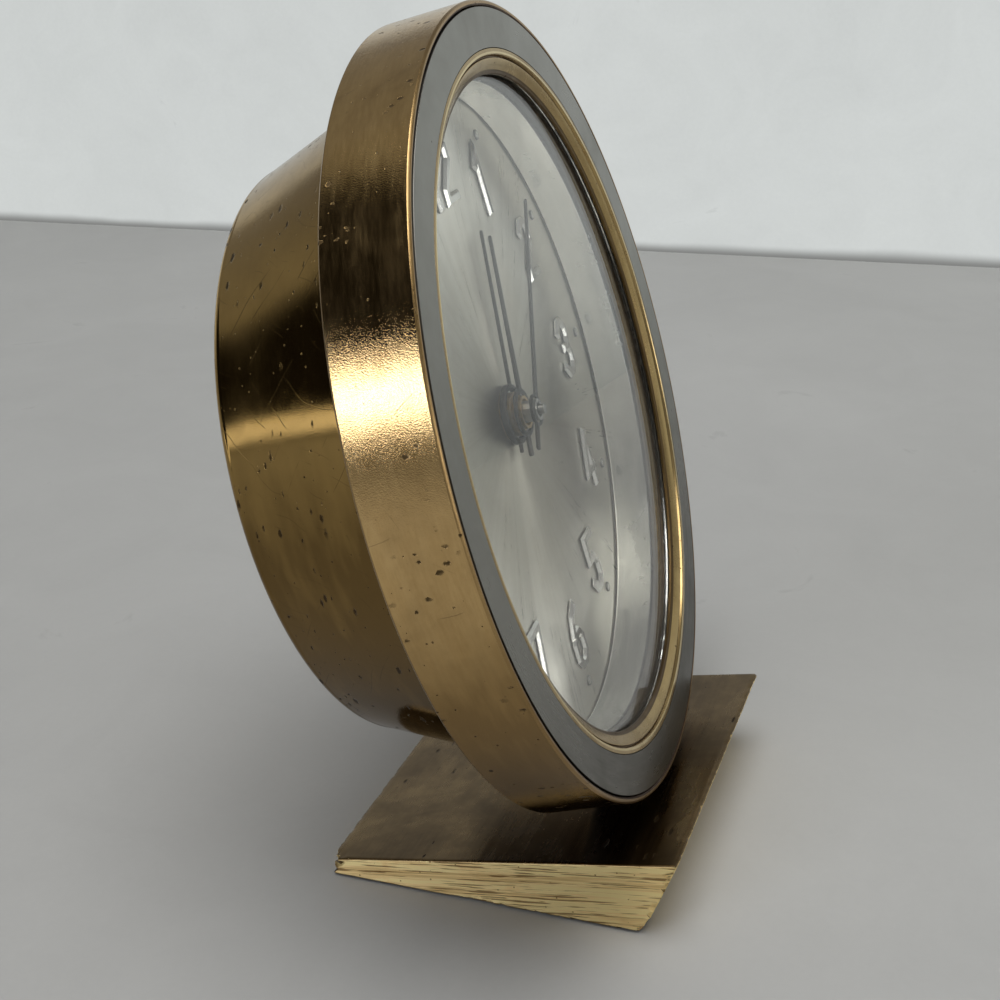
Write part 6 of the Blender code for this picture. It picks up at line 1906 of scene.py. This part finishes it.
@dataclass(frozen=True)
class Studio:
    """Pale floor and wall, soft light and an even grey room."""

    floor_colour: Colour = (0.48, 0.48, 0.463)
    wall_colour: Colour = (0.61, 0.635, 0.625)
    wall_x: float = 0.296
    wall_height: float = 0.22
    wall_skew: float = 0.031
    floor_edge: float = -1.2
    reach: float = 1.3
    aim: tuple[float, float, float] = (0.0, 0.0, 0.05)
    room: Colour = (0.21, 0.21, 0.205)
    shade: Colour = (0.008, 0.007, 0.006)
    shade_azimuth: float = 121.0
    shade_elevation: float = 31.0
    shade_inner: float = 29.0
    shade_outer: float = 34.0
    lamps: tuple[Lamp, ...] = (
        Lamp("overhead_lamp", azimuth=205.0, elevation=82.0, distance=0.95, width=0.7, height=0.7,
             radiance=3.9),
        Lamp("side_lamp", azimuth=146.0, elevation=17.0, distance=0.9, width=0.36, height=0.16,
             radiance=7.0, colour=(0.94, 0.98, 1.12)),
        Lamp("low_lamp", azimuth=116.0, elevation=0.4, distance=0.9, width=0.30, height=0.065,
             radiance=0.95),
        Lamp("front_lamp", azimuth=262.0, elevation=12.0, distance=0.95, width=0.5, height=0.3,
             radiance=2.3),
    )

    def sheet(self, name: str, corners: Sequence[tuple[float, float, float]], colour: Colour,
              backdrop: bool = False) -> None:
        """Adds one flat sheet of the set.

        Args:
            name: Its name.
            corners: Its corners in metres, anticlockwise from the lit side.
            colour: Its colour.
            backdrop: Whether it shows its own colour behind the clock, whatever light falls on it.
        """
        mesh = bpy.data.meshes.new(name)
        mesh.from_pydata(corners, [], [tuple(range(len(corners)))])
        sheet = bpy.data.objects.new(name, mesh)
        bpy.context.scene.collection.objects.link(sheet)
        skin = Skin(name)
        graph, spot = skin.graph, skin.spot
        cloud = graph.noise(spot, 9.0, 4.0, 0.55, 0.8)
        mottle = graph.noise(spot, 38.0, 5.0, 0.62, 1.2)
        fine = graph.noise(spot, 900.0, 2.0, 0.6)
        tone = graph.vary(mottle, 0.12, graph.vary(cloud, 0.16, 1.0))
        tone = graph.vary(fine, 0.05, graph.times(graph.step(mottle, 0.66, 0.72), -0.10, tone))
        tinted = graph.blend(1.0, colour, graph.grey(tone), "MULTIPLY")
        skin.take(Roughness=graph.times(fine, 0.1, 0.62), Base_Color=tinted)
        if backdrop:
            height = graph.split(spot)[2]
            # Painted shade: a dark line along the foot of the wall where it meets the floor.
            edge = graph.step(height, 0.0, graph.times(cloud, 0.006, 0.0005))
            path = graph.node("ShaderNodeLightPath")
            # Glossy rays also see the wall glow with its own colour at a 0.8 share, fading out over its
            # lowest 5 cm: painted reflected light.
            faded = graph.times(graph.step(height, 0.0, 0.05), 0.8)
            faded = graph.times(path.outputs["Is Glossy Ray"], faded)
            shown = graph.node("ShaderNodeEmission")
            # Colour of that painted shade line.
            painted_gap_shade = graph.blend(0.35, DARK_LINE, colour)
            graph.feed(shown.inputs["Color"], graph.blend(edge, painted_gap_shade, tinted))
            skin.mix(graph.math("MAXIMUM", path.outputs["Is Camera Ray"], faded), shown)
        mesh.materials.append(skin.material)
        LOG.info("%s of the set", name)

    def world(self) -> None:
        """Even grey room, darker on one side, that shows pale behind the clock."""
        world = bpy.data.worlds.new("room")
        bpy.context.scene.world = world
        world.use_nodes = True
        world.node_tree.nodes.clear()
        graph = Graph(world.node_tree)
        middle = tuple(towards(self.shade_azimuth, self.shade_elevation))
        sky = graph.node("ShaderNodeTexCoord").outputs["Generated"]
        facing = graph.vector("DOT_PRODUCT", sky, middle)
        share = graph.step(facing, math.cos(math.radians(self.shade_outer)),
                           math.cos(math.radians(self.shade_inner)))
        colour = graph.blend(share, self.room, self.shade)
        seen = graph.node("ShaderNodeLightPath").outputs["Is Camera Ray"]
        colour = graph.blend(seen, colour, self.wall_colour)
        back = graph.node("ShaderNodeBackground")
        graph.feed(back.inputs["Color"], colour)
        out = graph.node("ShaderNodeOutputWorld")
        graph.feed(out.inputs["Surface"], back.outputs[0])

    def build(self) -> None:
        """Places the set, the lamps and the world."""
        near, far = self.floor_edge, self.wall_x + 0.05
        left, right = self.wall_x - self.wall_skew, self.wall_x + self.wall_skew
        high, reach = self.wall_height, self.reach
        self.sheet("floor", [(near, -reach, 0.0), (far, -reach, 0.0), (far, reach, 0.0),
                             (near, reach, 0.0)], self.floor_colour)
        self.sheet("wall", [(left, -reach, 0.0), (left, -reach, high), (right, reach, high),
                            (right, reach, 0.0)], self.wall_colour, backdrop=True)
        for lamp in self.lamps:
            lamp.build(Vector(self.aim))
        self.world()


@dataclass(frozen=True)
class Viewpoint:
    """Where the camera stands and how it is held."""

    position: tuple[float, float, float] = (-0.1733, -0.0435, 0.1145)
    right: tuple[float, float, float] = (0.2612, -0.9650, -0.0209)
    down: tuple[float, float, float] = (-0.3692, -0.0799, -0.9259)
    focal_length: float = 58.28
    sensor: float = 36.0

    def build(self) -> None:
        """Places the camera."""
        data = bpy.data.cameras.new("camera")
        data.lens = self.focal_length
        data.sensor_width = self.sensor
        data.clip_start = 0.01
        camera = bpy.data.objects.new("camera", data)
        right = Vector(self.right).normalized()
        up = -Vector(self.down)
        up = (up - right * up.dot(right)).normalized()
        turn = Matrix((right, up, right.cross(up))).transposed()
        camera.matrix_world = Matrix.Translation(Vector(self.position)) @ turn.to_4x4()
        bpy.context.scene.collection.objects.link(camera)
        bpy.context.scene.camera = camera
        LOG.info("camera placed")


@dataclass(frozen=True)
class AlarmClock:
    """The whole clock."""

    stance: Stance = Stance()
    foot: Foot = Foot()
    rim: Ring = RIM
    annulus: Ring = ANNULUS
    bezel: Ring = BEZEL
    gasket: Ring = GASKET
    crystal: Crystal = Crystal()
    recess_wall: Ring = RECESS_WALL
    dial: Dial = Dial()
    hands: Hands = Hands()
    drum: RearDrum = RearDrum()
    cover: BackCover = BackCover()
    keys: WindingKeys = WindingKeys()
    knobs: SettingKnobs = SettingKnobs()
    movement: Movement = Movement()

    def build(self, nodes: dict[str, bpy.types.Object]) -> None:
        """Builds every sub-assembly.

        Args:
            nodes: The clock's solids by name.
        """
        bench = Bench(self.stance, Wardrobe(EffectShelf(self.stance.case())), nodes)
        for assembly in (self.foot, self.rim, self.annulus, self.bezel, self.gasket, self.crystal,
                         self.recess_wall, self.dial, self.hands, self.drum, self.cover, self.keys,
                         self.knobs, self.movement):
            assembly.build(bench)
        left = sorted(set(nodes) - bench.dressed)
        LOG.info("solids not dressed: %s", left or "none")


def main() -> None:
    """Builds the clock, its studio and its camera."""
    logging.basicConfig(level=logging.INFO, format="%(name)s: %(message)s")
    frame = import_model()
    AlarmClock().build(frame["nodes"])
    Studio().build()
    Viewpoint().build()
    bpy.context.scene.view_settings.view_transform = "Standard"
    LOG.info("sizes written")


if __name__ == "__main__":
    main()
